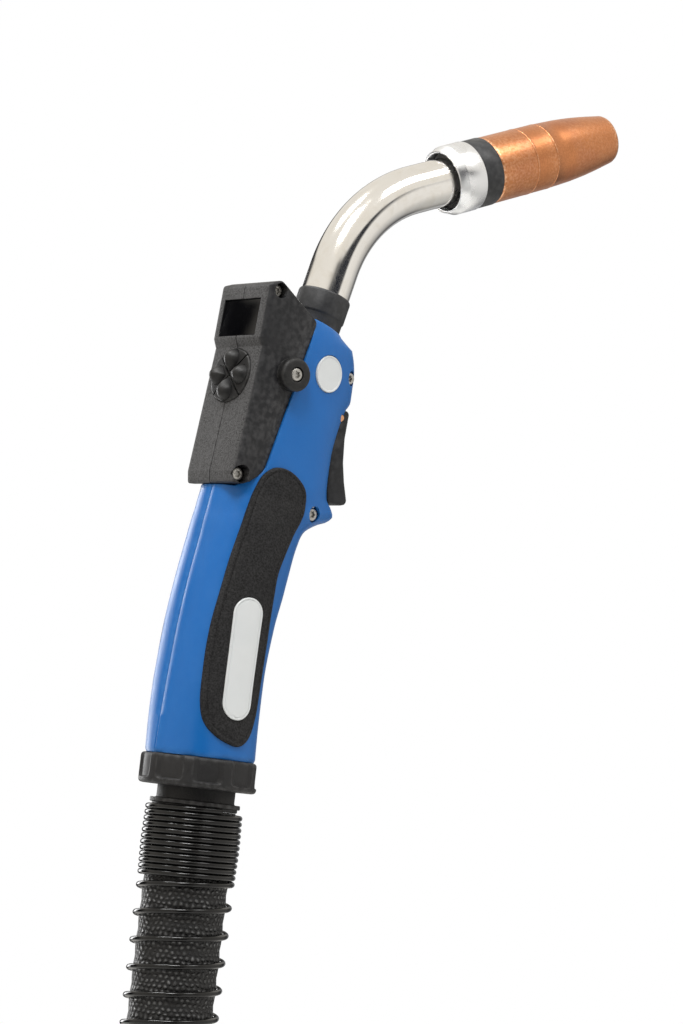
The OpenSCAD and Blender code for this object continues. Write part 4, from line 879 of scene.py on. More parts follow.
# %% The two halves, hollow, with the slot, the seats and the screw wells cut out
SIDES = ((1, "left"), (-1, "right"))
FOOT_Z, WALL, SEAM = -57.7, 2.5, 0.5
POD_DEPTH_LOW, POD_DEPTH_HIGH, POD_LOW_Z, POD_FOOT_Z, POD_TOP_Z = 15.2, 24.4, -40.5, -45.4, 40.8
POD_BACK = [
    (-20, POD_FOOT_Z), (5.5, POD_FOOT_Z), (8.6, POD_FOOT_Z + 2.5), (POD_DEPTH_LOW - 1.7, POD_LOW_Z + 2.2),
    (POD_DEPTH_LOW, POD_LOW_Z + 5.4), (POD_DEPTH_HIGH, POD_TOP_Z - 12.4), (POD_DEPTH_HIGH, 90), (-20, 90),
]
PIVOT, HOOK_SCREW, NOSE_SCREW, BADGE = (44, 89), (31.5, 46.8), (46.6, 106), (30, 105)
BADGE_SUNK, BADGE_TURN = 1.2, 13


def badge_frame():
    turn = Matrix.Rotation(math.radians(BADGE_TURN), 4, "Z") @ Matrix.Rotation(math.radians(90), 4, "X")
    return Matrix.Translation((BADGE[0], BADGE_SUNK - half_width(*BADGE), BADGE[1])) @ turn


for side, word in SIDES:
    half = half_form("handle_half_" + word, side, 0.0, FOOT_Z, HANDLE_TOP, seam=SEAM)
    hollow = half_form("hollow", side, -WALL, FOOT_Z + 3, HANDLE_TOP - 3)
    for v in hollow.data.vertices:
        if abs(v.co.y) < 0.0001:
            v.co.y = -side * 0.002
    cutters = [
        hollow,
        drawn_out("pod seat", POD_BACK, -60, 60, 1, AT_POD),
        block("slot", ((27.6, -7.0, 51.4), (87.6, 7.0, 93.6)), ease=0.5),
        drum("neck hole", 10.9, 0, 30, at_neck(HANDLE_TOP - 14)),
        drum("foot hole", 16.1, -70, -50),
        stud("pin hole", *PIVOT, 1.55, -30, 30),
    ]
    if side < 0:
        for x, z in (HOOK_SCREW, NOSE_SCREW):
            cutters.append(stud("screw hole", x, z, 1.6, -40, 12))
            cutters.append(stud("screw well", x, z, 3.3, -40, -half_width(x, z) + 4))
        cutters.append(drum("badge seat", 7.75, 0, 20, badge_frame()))
    combine(half, cutters, below=38)
    fit(half, "torch", blue, ["handle_shell_" + word])
    print("handle half", word, len(half.data.vertices), "points")

# %% [markdown]
# ## Grip pads
# A soft rubber inlay is moulded over each side of the grip. It stands a millimetre proud with a rounded
# rim, a shallow groove runs round just inside the rim, and its face is finely pebbled. It is made row by
# row across its outline, with the distance to the rim deciding the height.

# %% Rubber finish
rubber = Finish("grip_rubber", Specular_IOR_Level=0.25)
pebbles = rubber.group(grain, 1500.0, 60.0)
lint = rubber.group(dust, 0.25, 70.0)
tips = rubber.span(pebbles[0], 0.0, 1.0, 0.6, 1.2)
darks = rubber.mix(tips, (0.003, 0.003, 0.0035), (0.024, 0.024, 0.026))
rubber.feed("Base Color", rubber.mix(lint[0], darks, 0.12))
rubber.feed("Roughness", rubber.span(pebbles[1], 0.55, 0.8, 0.3, 0.7))
rubber.bump(pebbles[0], 0.00022, 0.9)

# %% A skin that lies on the handle inside an outline
PAD = [
    (12.2, 63), (18.4, 60.8), (23.6, 56), (25, 50.5), (23.4, 42), (19.6, 35), (16.2, 27), (14.0, 20),
    (13.6, 10), (13.8, -10), (13.2, -28), (11.8, -40), (8.4, -48.5), (3.6, -52), (-2.0, -51.4),
    (-8.2, -48.6), (-12.8, -44), (-14.8, -37), (-15.0, -20), (-13.8, -4), (-11.4, 10), (-8.4, 25),
    (-5.0, 38), (-0.8, 52), (2.2, 58.6), (6.8, 62.4),
]
RIM = 1.2  # mm at the two ends of an outline where the rows stand closer
RIM_SHARES = np.array([0.004, 0.03, 0.08, 0.16, 0.27, 0.4, 0.55, 0.7, 0.85])
RIM_COLUMNS = np.array([0, 0.12, 0.3, 0.5, 0.75, 1.0, 1.3, 1.6, 1.9, 2.2, 2.6, 3.2])


def to_rim(points, outline):
    """Distance from each point to a closed outline."""
    a = np.array(outline)
    b = np.roll(a, -1, axis=0)
    p = np.array(points)[:, None, :]
    ab = (b - a)[None]
    t = np.clip(((p - a) * ab).sum(-1) / (ab**2).sum(-1), 0, 1)
    return np.linalg.norm(p - (a + t[..., None] * ab), axis=-1).min(1)


def skin(name, outline, side, height, step, across, base):
    """Rows across the outline, each point lifted off the handle by height(distance to the rim)."""
    outline = np.array(outline)
    nxt = np.roll(outline, -1, axis=0)
    lo, hi = outline[:, 1].min(), outline[:, 1].max()
    inner = np.linspace(lo + RIM, hi - RIM, int((hi - lo) / step))
    flat = []
    for z in np.concatenate([lo + RIM * RIM_SHARES, inner, hi - (RIM * RIM_SHARES)[::-1]]):
        hit = (outline[:, 1] - z) * (nxt[:, 1] - z) < 0
        t = (z - outline[hit, 1]) / (nxt[hit, 1] - outline[hit, 1])
        xs = outline[hit, 0] + t * (nxt[hit, 0] - outline[hit, 0])
        x0, wide = xs.min(), xs.max() - xs.min()
        ends = np.minimum(RIM_COLUMNS, wide * 0.4 * np.linspace(0, 1, len(RIM_COLUMNS)))
        middle = np.linspace(ends[-1], wide - ends[-1], across + 2)[1:-1]
        flat += [(x0 + d, z) for d in np.concatenate([ends, middle, wide - ends[::-1]])]
    w, top = across + 2 * len(RIM_COLUMNS), len(flat)
    rows = top // w
    upper, lower = [], []
    for (x, z), d in zip(flat, to_rim(flat, outline)):
        rise = height(d)
        y = half_width(x, z, rise) if rise > 0 else half_width(x, z) + rise
        upper.append((x * MM, side * y * MM, z * MM))
        lower.append((x * MM, side * (half_width(x, z) - base) * MM, z * MM))
    faces = []
    for a in (i * w + k for i in range(rows - 1) for k in range(w - 1)):
        faces += [(a, a + 1, a + w + 1, a + w), (top + a, top + a + w, top + a + w + 1, top + a + 1)]
    walls = [(i * w + k, w) for i in range(rows - 1) for k in (0, w - 1)]
    walls += [(i * w + k, 1) for k in range(w - 1) for i in (0, rows - 1)]
    faces += [(a, a + d, top + a + d, top + a) for a, d in walls]
    return solid(name, upper + lower, faces, None, 50)

# %% Pads and the pale plates in them
def rim_round(rise, r):
    """Height of a face `rise` high whose rim is rounded over r."""
    return lambda d: rise - r + math.sqrt(max(r * r - max(r - d, 0.0) ** 2, 0.0)) if d < r else rise


def pad_height(d):
    groove = 0.38 * math.exp(-(((d - 2.1) / 0.32) ** 2))
    return rim_round(1.2, 1.0)(d) - groove


def plate_height(d):
    return 1.22 + rim_round(0.55, 0.4)(d) - 0.22 * (0.8 < d < 1.15)


PLATE_R, PLATE_ENDS = 7, ((0.6, 1.5, 0.0), (0.0, -34.5, math.pi))
PLATE = [
    (x + PLATE_R * math.cos(a), z + PLATE_R * math.sin(a))
    for x, z, start in PLATE_ENDS
    for a in np.linspace(start, start + math.pi, 25)
]
pale = grained(
    "pale_plate", 3500.0, 80.0, [(0.62, 0.655, 0.68), (0.72, 0.745, 0.765)], rough=(0.28, 0.42),
    relief=(0.00002, 0.5), dusty=(0.25, 90.0, 0.45),
    Specular_IOR_Level=0.5, Coat_Weight=0.3, Coat_Roughness=0.15,
)
pad_outline = [tuple(p) for p in curve_through(PAD, 8, closed=True)]
for side, word in SIDES:
    pad = skin("grip_inlay_" + word, pad_outline, side, pad_height, 0.8, 30, 0.6)
    fit(pad, "torch", rubber, ["grip_pad_" + word])
    blank = skin("name_plate_" + word, PLATE, side, plate_height, 0.8, 14, -1.1)
    fit(blank, "torch", pale, ["grip_plate_" + word])
print("pads and plates made")

# %% Round disc: white, bare, with a raised rim
DISC = [
    (0.001, 0.02), (7.55, 0.02), (7.6, 0.1), (7.6, 1.1), (7.5, 1.28), (7.2, 1.32), (6.9, 1.3), (6.75, 1.18),
    (0.001, 1.18),
]
disc = lathe("badge_disc_moulded", DISC, badge_frame(), 96)
fit(disc, "torch", pale, ["badge_disc"])

# %% [markdown]
# ## Moulded slabs
# The pod and the trigger are flat mouldings: one side outline with rounded corners, drawn across, whose
# rims are rounded off by a different amount on each edge. Each row of such a slab is the outline moved in
# edge by edge, so it can be built as a stack of outlines that all have the same number of points.

# %% Outlines moved in and rounded, and the slab between them
def moved_in(outline, moves):
    """The outline (counter-clockwise in X-Z) with each edge moved in by its own distance."""
    n = len(outline)
    made = []
    for i in range(n):
        (ax, az), (bx, bz), (cx, cz) = outline[i - 1], outline[i], outline[(i + 1) % n]
        u = Vector((bx - ax, bz - az)).normalized()
        v = Vector((cx - bx, cz - bz)).normalized()
        p = Vector((bx, bz)) + Vector((-u.y, u.x)) * moves[i - 1]
        q = Vector((bx, bz)) + Vector((-v.y, v.x)) * moves[i]
        turn = u.x * v.y - u.y * v.x
        if abs(turn) < 0.03:
            made.append((p + q) / 2)
        else:
            gap = q - p
            made.append(p + u * ((gap.x * v.y - gap.y * v.x) / turn))
    return made


ARC = 6  # steps round each corner


def rounded(outline, radii):
    """Each corner as the same number of points on a curve that leaves and meets its two edges."""
    n = len(outline)
    made = []
    for i in range(n):
        a, b, c = (Vector(outline[k % n]) for k in (i - 1, i, i + 1))
        u, v = (a - b), (c - b)
        bend = math.pi - u.angle(v)
        t = min(radii[i] * math.tan(bend / 2), 0.45 * u.length, 0.45 * v.length)
        p, q = b + u.normalized() * t, b + v.normalized() * t
        for k in range(ARC + 1):
            s = k / ARC
            made.append(p * (1 - s) ** 2 + b * 2 * s * (1 - s) + q * s * s)
    return made


def stack(name, rows, place):
    """Outlines with equal numbers of points, each at its own y, joined to a closed solid."""
    n = len(rows[0][1])
    points = [place @ Vector((p[0], y, p[1])) * MM for y, outline in rows for p in outline]
    faces = bands(len(rows), n) + [tuple(range(n)), tuple(range((len(rows) - 1) * n, len(rows) * n))]
    return solid(name, points, faces)


def rim_rows(outline, radii, half, rims, steps=7):
    """Rows from the start of the round rims out to y = half; rims gives each edge (distance in, drop)."""
    deepest = max(h for _, h in rims)
    rows = []
    for j in range(steps + 1):
        y = half - deepest * (1 - math.sin(math.pi / 2 * j / steps))
        moves = []
        for d, h in rims:
            v = max(0.0, (y - (half - h)) / h)
            moves.append(d * (1 - math.sqrt(max(0.0, 1 - v * v))))
        less = [max(r - 0.5 * (moves[i - 1] + moves[i]), 0.25 * r) for i, r in enumerate(radii)]
        rows.append((y, rounded(moved_in(outline, moves), less)))
    return rows


def join(name, objs):
    """Several meshes as one object."""
    work = bmesh.new()
    for o in objs:
        work.from_mesh(o.data)
    made = objs[0]
    work.to_mesh(made.data)
    work.free()
    for o in objs[1:]:
        bpy.data.objects.remove(o)
    made.name = name
    return smooth(made)

# %% [markdown]
# ## Control pod
# The pod is two black moulded shells with a parting line down the middle of their back. Their back face
# is spark-eroded in the mould, so it is coarse and dull, and it is painted a lighter grey than the
# sides, which are smooth: painted light for the lamp that falls on the back. Its front edge is chamfered
# where it meets the handle. It is built as two thin walled solids, with the openings for the display,
# the keys and the screws cut through.

# %% Pod plastic: coarse where it faces back, with a painted lighter tone standing for light there; smooth and darker at the sides
pod_plastic = Finish("black_plastic", Specular_IOR_Level=0.3)
spark = pod_plastic.group(grain, 1700.0, 55.0)
scrape = pod_plastic.group(wear, 0.16, 420.0)
lint = pod_plastic.group(dust, 0.04, 60.0)
facing_x = pod_plastic.out("SeparateXYZ", "X", [(0, pod_plastic.out("TexCoord", "Normal"))])
# Where the face looks back, the grain is coarser and the tone is painted lighter, as painted light for the
# lamp on that side.
coarse_back_with_painted_light = pod_plastic.span(facing_x, 1.0, 0.0, -0.93, -0.80)
speckle = pod_plastic.span(spark[0], 0.0, 1.0, 0.45, 1.05)
coarse_skin_painted_lighter = pod_plastic.mix(speckle, (0.008, 0.008, 0.0085), (0.078, 0.078, 0.081))
smooth_skin = pod_plastic.mix(spark[1], (0.0115, 0.012, 0.014), (0.0135, 0.014, 0.0165))
tone = pod_plastic.mix(coarse_back_with_painted_light, smooth_skin, coarse_skin_painted_lighter)
tone = pod_plastic.mix(scrape[0], tone, (0.11, 0.11, 0.115))
pod_plastic.feed("Base Color", pod_plastic.mix(lint[0], tone, 0.16))
pod_plastic.feed("Roughness", pod_plastic.span(coarse_back_with_painted_light, 0.46, 0.68))
depth = pod_plastic.math("MULTIPLY", spark[0], pod_plastic.span(coarse_back_with_painted_light, 0.15, 1.0))
pod_plastic.bump(depth, 0.00022, 0.9, round_edges=0.0004)

# %% The pod's outline, with how far each edge's rim is taken in
POD = [
    (0, -40.5), (1.3, -45.4), (5.5, -44.6), (8.8, -42.9), (13.5, -38.3), (15.2, -35.1), (24.3, 29.0),
    (2.6, 40.8), (-3, 37.8), (-1.9, 15.4), (0, 12.1),
]
POD_R = [1.2, 1.6, 3, 3, 4, 4, 1.4, 3.0, 2.2, 0.9, 0.9]
BACK_RIM, END_RIM, INNER_RIM = (2.9, 3.2), (1.2, 1.3), (2.4, 2.4)
POD_RIMS = [BACK_RIM] + [END_RIM] * 7 + [BACK_RIM] * 3
POD_HALF, POD_WALL = 18.5, 2.0
POD_SCREWS, BUMPER = ((4, -40.9, 3.7), (3, 36.4, 3.2)), (16.2, 4.4)  # x, z and the radius of the well
WINDOW_LOW, WINDOW_TOP, WINDOW_HALF = 16.4, 32.0, 13.25
CHAMFER = [(-8, 18.99), (1.5, 16.39), (1.5, 25), (-8, 25)]  # out from the front edge, and across


def mirrored(rows, side):
    return [(side * y, outline) for y, outline in rows]


def oval(half_w, half_h, count=240):
    """Points (y, z) on the keypad's oval: the band round a circle and two smaller ones beside it."""
    small = half_h * 0.94
    circles = ((0, half_h), (half_w - small, small), (small - half_w, small))
    made = []
    for k in range(count):
        a = 2 * math.pi * k / count
        c, s = math.cos(a), math.sin(a)
        _, at, r = max((y * c + r, y, r) for y, r in circles)
        made.append((at + r * c, r * s))
    return made


def front_wedge(side):
    """What the chamfer takes off the pod's front edge."""
    low, high = Vector((*POD[5], 0)).xzy, Vector((*POD[6], 0)).xzy
    along = (high - low).normalized()
    turn = Matrix(((along.z, 0, -along.x), (0, 1, 0), along)).transposed().to_4x4()
    rim = [(u, side * y) for u, y in CHAMFER]
    return drawn_out("wedge", rim, -30, 95, 2, AT_POD @ Matrix.Translation(low) @ turn)

# %% The two shells
inner_outline = moved_in(POD, [POD_WALL] * len(POD))
inner_r = [max(r - POD_WALL, 0.4) for r in POD_R]
for side, word in SIDES:
    outer = [(0.04, rounded(moved_in(POD, [0.28] * len(POD)), POD_R)), (0.3, rounded(POD, POD_R))]
    outer += rim_rows(POD, POD_R, POD_HALF, POD_RIMS)
    shell = stack("pod_half_" + word, mirrored(outer, side), AT_POD)
    inner = [(-1.0, rounded(inner_outline, inner_r))]
    inner += rim_rows(inner_outline, inner_r, POD_HALF - POD_WALL, [INNER_RIM] * len(POD), 3)
    hollow = stack("pod hollow", mirrored(inner, side), AT_POD)
    combine(hollow, [stud("boss", x, z, 4.8, -30, 30, AT_POD, 64) for x, z, _ in POD_SCREWS])
    front = [(12.2, -35.1), (40, -35.1), (40, 28.4), (21.4, 28.4)]
    display = ((-10, -WINDOW_HALF, WINDOW_LOW), (10, WINDOW_HALF, WINDOW_TOP))
    cutters = [
        hollow,
        front_wedge(side),
        drawn_out("pod front", front, -16.5, 16.5, 1, AT_POD),
        drum("neck way", 11.3, 40, 180, at_neck()),
        block("display way", display, AT_POD),
        drawn_out("keypad way", oval(13.6, 11.6, 96), -5, 8, 0, AT_POD),
        stud("bumper way", *BUMPER, 1.8, -30, 30, AT_POD, 64),
    ]
    if side < 0:
        cutters += [stud("screw well", x, z, r, -30, -12.2, AT_POD, 64) for x, z, r in POD_SCREWS]
    combine(shell, cutters, below=32)
    fit(shell, "torch", pod_plastic, ["pod_shell_" + word])
    print("pod half", word, len(shell.data.vertices))

# %% [markdown]
# ## Display
# The display is a pane of black polycarbonate, set almost flush in its opening, with a polished face and
# a fine bright edge where the bevel catches the light.

# %% Window finish and pane
PANE_GAP, PANE_BACK, PANE_FACE = 0.12, -0.4, -2.0
pane = Finish("window_black", Specular_IOR_Level=0.4)
smear = pane.group(grain, 500.0, 140.0)
lint = pane.group(dust, 0.04, 160.0)
pane.feed("Base Color", pane.mix(lint[0], (0.0012, 0.0012, 0.0015), 0.03))
pane.feed("Roughness", pane.span(smear[1], 0.06, 0.16, 0.35, 0.7))
low_corner = (PANE_FACE, PANE_GAP - WINDOW_HALF, WINDOW_LOW + PANE_GAP)
high_corner = (PANE_BACK, WINDOW_HALF - PANE_GAP, WINDOW_TOP - PANE_GAP)
window = block("display_pane", (low_corner, high_corner), AT_POD, 0.22)
fit(window, "torch", pane, ["display_window"])

# %% [markdown]
# ## Key pad
# One rubber moulding carries the keys: a low dome with two grooves crossed on it, which leave four
# quarters, each with a drop-shaped key. The pad and the keys are domes made of rings of their own rims.
# The grooves and the wells are cut out of the pad, so that each key can be pushed in.

# %% Keypad rubber
pad_rubber = grained(
    "keypad_black", 2600.0, 150.0, [(0.006, 0.006, 0.0065), (0.014, 0.014, 0.015)], rough=(0.40, 0.56),
    relief=(0.00006, 0.5), worn=(0.12, 500.0, 0.06), dusty=(0.12, 120.0, 0.12), Specular_IOR_Level=0.35,
)

# %% Drop-shaped keys and the pad that they stand in
KEY_R, KEY_POINT, KEY_GAP = 4.15, 5.9, 0.16
KEY_TURN = {"up": 0, "down": 180, "left": -90, "right": 90}
KEY_OUT = {"up": 6.9, "down": 6.9, "left": 8.3, "right": 8.3}
KEY_FOOT_X, KEY_HIGH, KEY_BACK_X, KEY_RINGS, KEY_SIDES = -0.75, 4.25, 1.15, 14, 72
PAD_X, PAD_BACK_X, PAD_RINGS, GROOVE_HALF, GROOVE_TURN = -1.15, 3.35, 36, 0.42, 48


def drop_reach(phi, grow):
    """Distance from a key's round centre to its rim, phi turned from the way to the pad's middle."""
    r = KEY_R + grow
    far = math.acos(r / (KEY_POINT + grow))
    phi = abs((phi + math.pi) % (2 * math.pi) - math.pi)
    return min(r / math.cos(far - phi), KEY_POINT - 0.35 + grow) if phi < far else r


def drop(out, grow=0.0):
    """A key's rim as points (y, z), its round centre `out` from the pad's middle."""
    turns = [2 * math.pi * k / KEY_SIDES for k in range(KEY_SIDES)]
    reach = [drop_reach(phi, grow) for phi in turns]
    return [(d * math.sin(phi), out - d * math.cos(phi)) for d, phi in zip(reach, turns)]


def dome(name, place, rim, middle, rings, ring_at, back_x):
    """Rings of the rim, drawn in toward (0, middle) and placed along x by ring_at, over a flat back."""
    n = len(rim)
    points = [place @ Vector((ring_at(0)[1], 0, middle)) * MM]
    for share, x in (ring_at(i / rings) for i in range(1, rings + 1)):
        points += [place @ Vector((x, y * share, middle + (z - middle) * share)) * MM for y, z in rim]
    points += [place @ Vector((back_x, y, z)) * MM for y, z in rim]
    faces = [(0, 1 + k, 1 + (k + 1) % n) for k in range(n)] + bands(rings + 1, n, 1)
    faces.append(tuple(range(1 + rings * n, 1 + (rings + 1) * n)))
    return solid(name, points, faces, None, 50)


def pad_ring(f):
    return f, PAD_X + 0.35 * f * f + 0.45 * max(0.0, (f - 0.955) / 0.045) ** 2


def key_ring(f):
    share = math.sin(math.pi / 2 * f)
    return share, KEY_FOOT_X - KEY_HIGH * (1 - share**1.9) ** 0.7


def pod_turned(degrees):
    return AT_POD @ Matrix.Rotation(math.radians(degrees), 4, "X")


keypad = dome("keypad_rubber", AT_POD, oval(13.4, 11.4), 0, PAD_RINGS, pad_ring, PAD_BACK_X)
cutters = []
for word, out in KEY_OUT.items():
    cutters.append(drawn_out("well", drop(out, KEY_GAP), -6, 2.0, 0, pod_turned(KEY_TURN[word])))
for degrees in (GROOVE_TURN, -GROOVE_TURN):
    cutters.append(block("groove", ((-5, -GROOVE_HALF, -22), (0.5, GROOVE_HALF, 22)), pod_turned(degrees)))
combine(keypad, cutters, below=50)
fit(keypad, "torch", pad_rubber, ["keypad_mat"])
for word, out in KEY_OUT.items():
    place = pod_turned(KEY_TURN[word])
    key = dome("drop_key_" + word, place, drop(out), out, KEY_RINGS, key_ring, KEY_BACK_X)
    fit(key, "key_" + word, pad_rubber, ["key_" + word])
print("key pad with", len(KEY_OUT), "keys")

# %% [markdown]
# ## Screws and bumpers
# Each screw is a small pan head with a six-lobed socket, zinc plated and a little scratched. The bumpers
# are rubber rings that keep the pod off a table; their screws sit deep in them.

# %% Screw finish
steel = grained(
    "screw_steel", 5200.0, 420.0, [(0.36, 0.355, 0.34), (0.66, 0.65, 0.62)], rough=(0.26, 0.46),
    relief=(0.00003, 0.6), worn=(0.1, 1500.0, (0.32, 0.30, 0.28)), Metallic=1.0,
)

# %% Screws with a six-lobed socket
SCREW_HEAD = [
    (0.001, -1.15), (1.2, -1.15), (1.27, -0.2), (1.36, -0.04), (1.56, 0.0), (2.2, -0.02), (2.5, -0.14),
    (2.72, -0.42), (2.8, -0.8), (2.8, -1.9), (2.7, -2.0), (1.5, -2.0),
]


def lobes(r, t, angle):
    return r * (1 + 0.15 * math.cos(6 * angle)) if 1.0 < r < 1.5 else r


def screw(place, length):
    """A screw whose head faces along the place's Z, with its outer face at 0."""
    shank = [(1.5, 0.3 - length), (1.2, -length), (0.001, -length)]
    return lathe("screw", SCREW_HEAD + shank, place, 48, flute=lobes)


def fit_screws(name, screws, node):
    fit(join(name, screws), "torch", steel, [node])


pod_pair = [screw(facing(-1, x, -15.0, z, AT_POD), 28.9) for x, z, _ in POD_SCREWS]
fit_screws("pod_screw_pair", pod_pair, "pod_screws")
bumper_pair = [screw(facing(s, BUMPER[0], s * 23.3, BUMPER[1], AT_POD), 11.8) for s in (-1, 1)]
fit_screws("bumper_screw_pair", bumper_pair, "bumper_screws")
handle_pair = []
for x, z in (HOOK_SCREW, NOSE_SCREW):
    hw = half_width(x, z)
    handle_pair.append(screw(facing(-1, x, -hw + 1.98, z), 2 * hw - 5.98))
fit_screws("handle_screw_pair", handle_pair, "handle_screws")

# %% Bumpers: a rubber ring with a rounded shoulder and a sunk seat
BUMPER_PROFILE = [
    (1.8, 0), (7.0, 0), (7.0, 1.1), (6.9, 1.3), (6.9, 1.5), (7.0, 1.7), (7.0, 3.3), (6.9, 3.9), (6.6, 4.4),
    (6.1, 4.78), (5.4, 4.96), (4.6, 5.0), (3.55, 5.0), (3.25, 4.92), (3.1, 4.7), (3.1, 2.68), (1.8, 2.65),
]
for side, word in SIDES:
    seat = facing(side, BUMPER[0], side * 18.6, BUMPER[1], AT_POD)
    made = lathe("side_bumper_" + word, BUMPER_PROFILE, seat, 96)
    fit(made, "torch", pad_rubber, ["bumper_" + word])
print("screws and bumpers made")

# %% [markdown]
# ## Trigger
# A long curved lever in dark grey plastic, thicker at its tip, turning on a copper coloured pin. A short
# nub on its back pushes the switch. Its edges are a little worn.

# %% Trigger finish and lever
lever = grained(
    "trigger_grey", 2100.0, 70.0, [(0.012, 0.0125, 0.0145), (0.019, 0.020, 0.0225)], rough=(0.42, 0.6),
    relief=(0.00008, 0.7), worn=(0.14, 350.0, (0.10, 0.10, 0.105)), dusty=(0.12, 80.0, 0.15),
    Specular_IOR_Level=0.3,
)
TRIGGER = [
    (2.6, 3.45), (-0.8, 3.4), (-2.4, 2.5), (-3.3, 1.0), (-3.3, -1.2), (-2.6, -12), (-1.6, -30), (-0.6, -35.8),
    (7, -35.8), (9, -35.2), (9.6, -33.6), (7.4, -26), (5.8, -18), (5.2, -8), (6, 2.4), (5, 3.7),
]
TRIGGER_R = [3, 3, 3, 3, 3, 20, 20, 1.5, 2, 2, 2, 12, 12, 14, 2.5, 2]
TRIGGER_HALF, TRIGGER_RIM = 6.5, (1.3, 1.3)
half_rows = rim_rows(TRIGGER, TRIGGER_R, TRIGGER_HALF, [TRIGGER_RIM] * len(TRIGGER), 6)
rows = mirrored(half_rows[::-1], -1) + half_rows
trigger = stack("trigger_lever", rows, Matrix.Translation((PIVOT[0], 0, PIVOT[1])))
combine(trigger, [block("nub", ((38.1, -3.2, 70), (43, 3.2, 75)), ease=0.4)], "UNION")
combine(trigger, [stud("pin bore", *PIVOT, 1.54, -10, 10)], below=40)
fit(trigger, "trigger", lever, ["trigger"])

# %% Pin
pin_metal = Finish("pin_copper", Metallic=1.0)
marks = pin_metal.group(brushed, 900.0, 2500.0)
pin_metal.feed("Base Color", pin_metal.mix(marks[1], (0.62, 0.30, 0.15), (0.86, 0.50, 0.30)))
pin_metal.feed("Roughness", pin_metal.span(marks[0], 0.16, 0.36, 0.3, 0.7))
PIN_R, PIN_CHAMFER_R, PIN_CHAMFER = 1.5, 1.25, 0.3
reach = half_width(*PIVOT) - PIN_CHAMFER
half_pin = [(0.001, reach), (PIN_CHAMFER_R, reach), (PIN_R, reach - PIN_CHAMFER)]
pin_profile = [(r, -t) for r, t in half_pin] + half_pin[::-1]
pivot_pin = lathe("trigger_pivot_pin", pin_profile, facing(-1, PIVOT[0], 0, PIVOT[1]), 48)
fit(pivot_pin, "torch", pin_metal, ["trigger_pin"])
print("trigger and pin made, pin", round(2 * reach, 1), "mm long")

# %% [markdown]
# ## Collar and socket
# The collar is a nut in matt black plastic that clamps the foot of the handle over the cable socket. Nine
# wide, shallow flutes with a flat bottom leave narrow ribs to hold it by, and run out in a round toward
# the hose.

# %% Collar plastic
moulded = grained(
    "collar_plastic", 2400.0, 90.0, [(0.009, 0.009, 0.010), (0.017, 0.017, 0.0185)], rough=(0.44, 0.6),
    relief=(0.00008, 0.6), worn=(0.14, 420.0, (0.13, 0.13, 0.135)), dusty=(0.10, 70.0, 0.14),
    round_edges=0.00025, Specular_IOR_Level=0.35,
)

# %% Fluted collar
COLLAR_LOW, FLUTES, RIB_AT, FLUTE_HALF, FLAT_HALF, FLUTE_DEPTH = -70.3, 9, -134.0, 15.3, 10.5, 1.1
FLUTE_LOW, FLUTE_FULL, RUN_OUT, RUN_OUT_HALF, FLUTE_EDGE = 2.2, 5.2, 3.0, 3.6, 0.12
COLLAR_R, BORE_R = 24.2, 20.5


def collar_flute(r, t, angle):
    """The collar's radius: full on the ribs, less in the flutes between them."""
    if r < BORE_R:
        return r
    step = 360 / FLUTES
    off = abs(((math.degrees(angle) - RIB_AT) / step) % 1.0 - 0.5) * step
    reach = FLUTE_HALF
    if t < FLUTE_FULL:
        gone = max(0.0, min(1.0, (FLUTE_FULL - t) / RUN_OUT))
        reach = FLUTE_HALF - RUN_OUT_HALF * (1 - math.sqrt(1 - gone * gone))
    if t < FLUTE_LOW or off >= reach:
        return r
    slope = min(1.0, (reach - off) / (FLUTE_HALF - FLAT_HALF))
    edge = FLUTE_EDGE * min(1.0, (reach - off) / 0.5)
    return r - (FLUTE_DEPTH * slope + edge) * min(1.0, (t - FLUTE_LOW) / 0.5)


rise = (2.19, 2.3, 2.45, 2.7, 3.0, 3.4, 3.9, 4.5, 5.2, 7.0, 9.0, 10.8)
profile = [(16.3, 0.0), (22.4, 0.0), (23.2, 0.15), (23.75, 0.5), (24.1, 1.1), (COLLAR_R, 1.7)]
profile += [(COLLAR_R, t) for t in rise]
profile += [(24.1, 11.5), (23.8, 12.05), (23.2, 12.4), (22.7, 12.5), (19.2, 12.5), (19.2, 7.5), (16.3, 7.5)]
collar = lathe("fluted_collar", profile, Matrix.Translation((0, 0, COLLAR_LOW)), 432, flute=collar_flute)
fit(smooth(collar, 24), "torch", moulded, ["rear_collar"])

# %% Cable socket with its flange
SOCKET = [
    (6.1, -78.8), (17.2, -78.8), (17.5, -78.5), (17.5, -77.5), (18.2, -77.45), (18.5, -77.2), (18.5, -76.0),
    (18.35, -75.7), (18.1, -75.6), (16.5, -75.6), (16.15, -75.4), (16.0, -75.0), (16.0, -52.3), (15.6, -51.8),
    (13.3, -51.8), (13.0, -52.1), (13.0, -77.8), (6.1, -77.8),
]
socket = lathe("socket_sleeve", SOCKET, STILL, 128)
fit(socket, "torch", moulded, ["cable_socket"])

# %% [markdown]
# ## Rear connector
# At the far end a tapered, ribbed rubber relief holds the hose. Then come the plug's body, a scalloped
# coupling nut and the brass pins. These parts stay away from the camera, but each is turned in full, with
# its grooves, chamfers and bores.

# %% Brass
brass = Finish("brass", Metallic=1.0)
cut_lines = brass.group(brushed, 50.0, 5200.0)
tarnish = brass.group(grain, 1800.0, 160.0)
brass.feed("Base Color", brass.mix(tarnish[1], (0.50, 0.34, 0.13), (0.80, 0.60, 0.30)))
brass.feed("Roughness", brass.span(cut_lines[1], 0.16, 0.34, 0.3, 0.7))
brass.bump(cut_lines[0], 0.00004, 0.5)

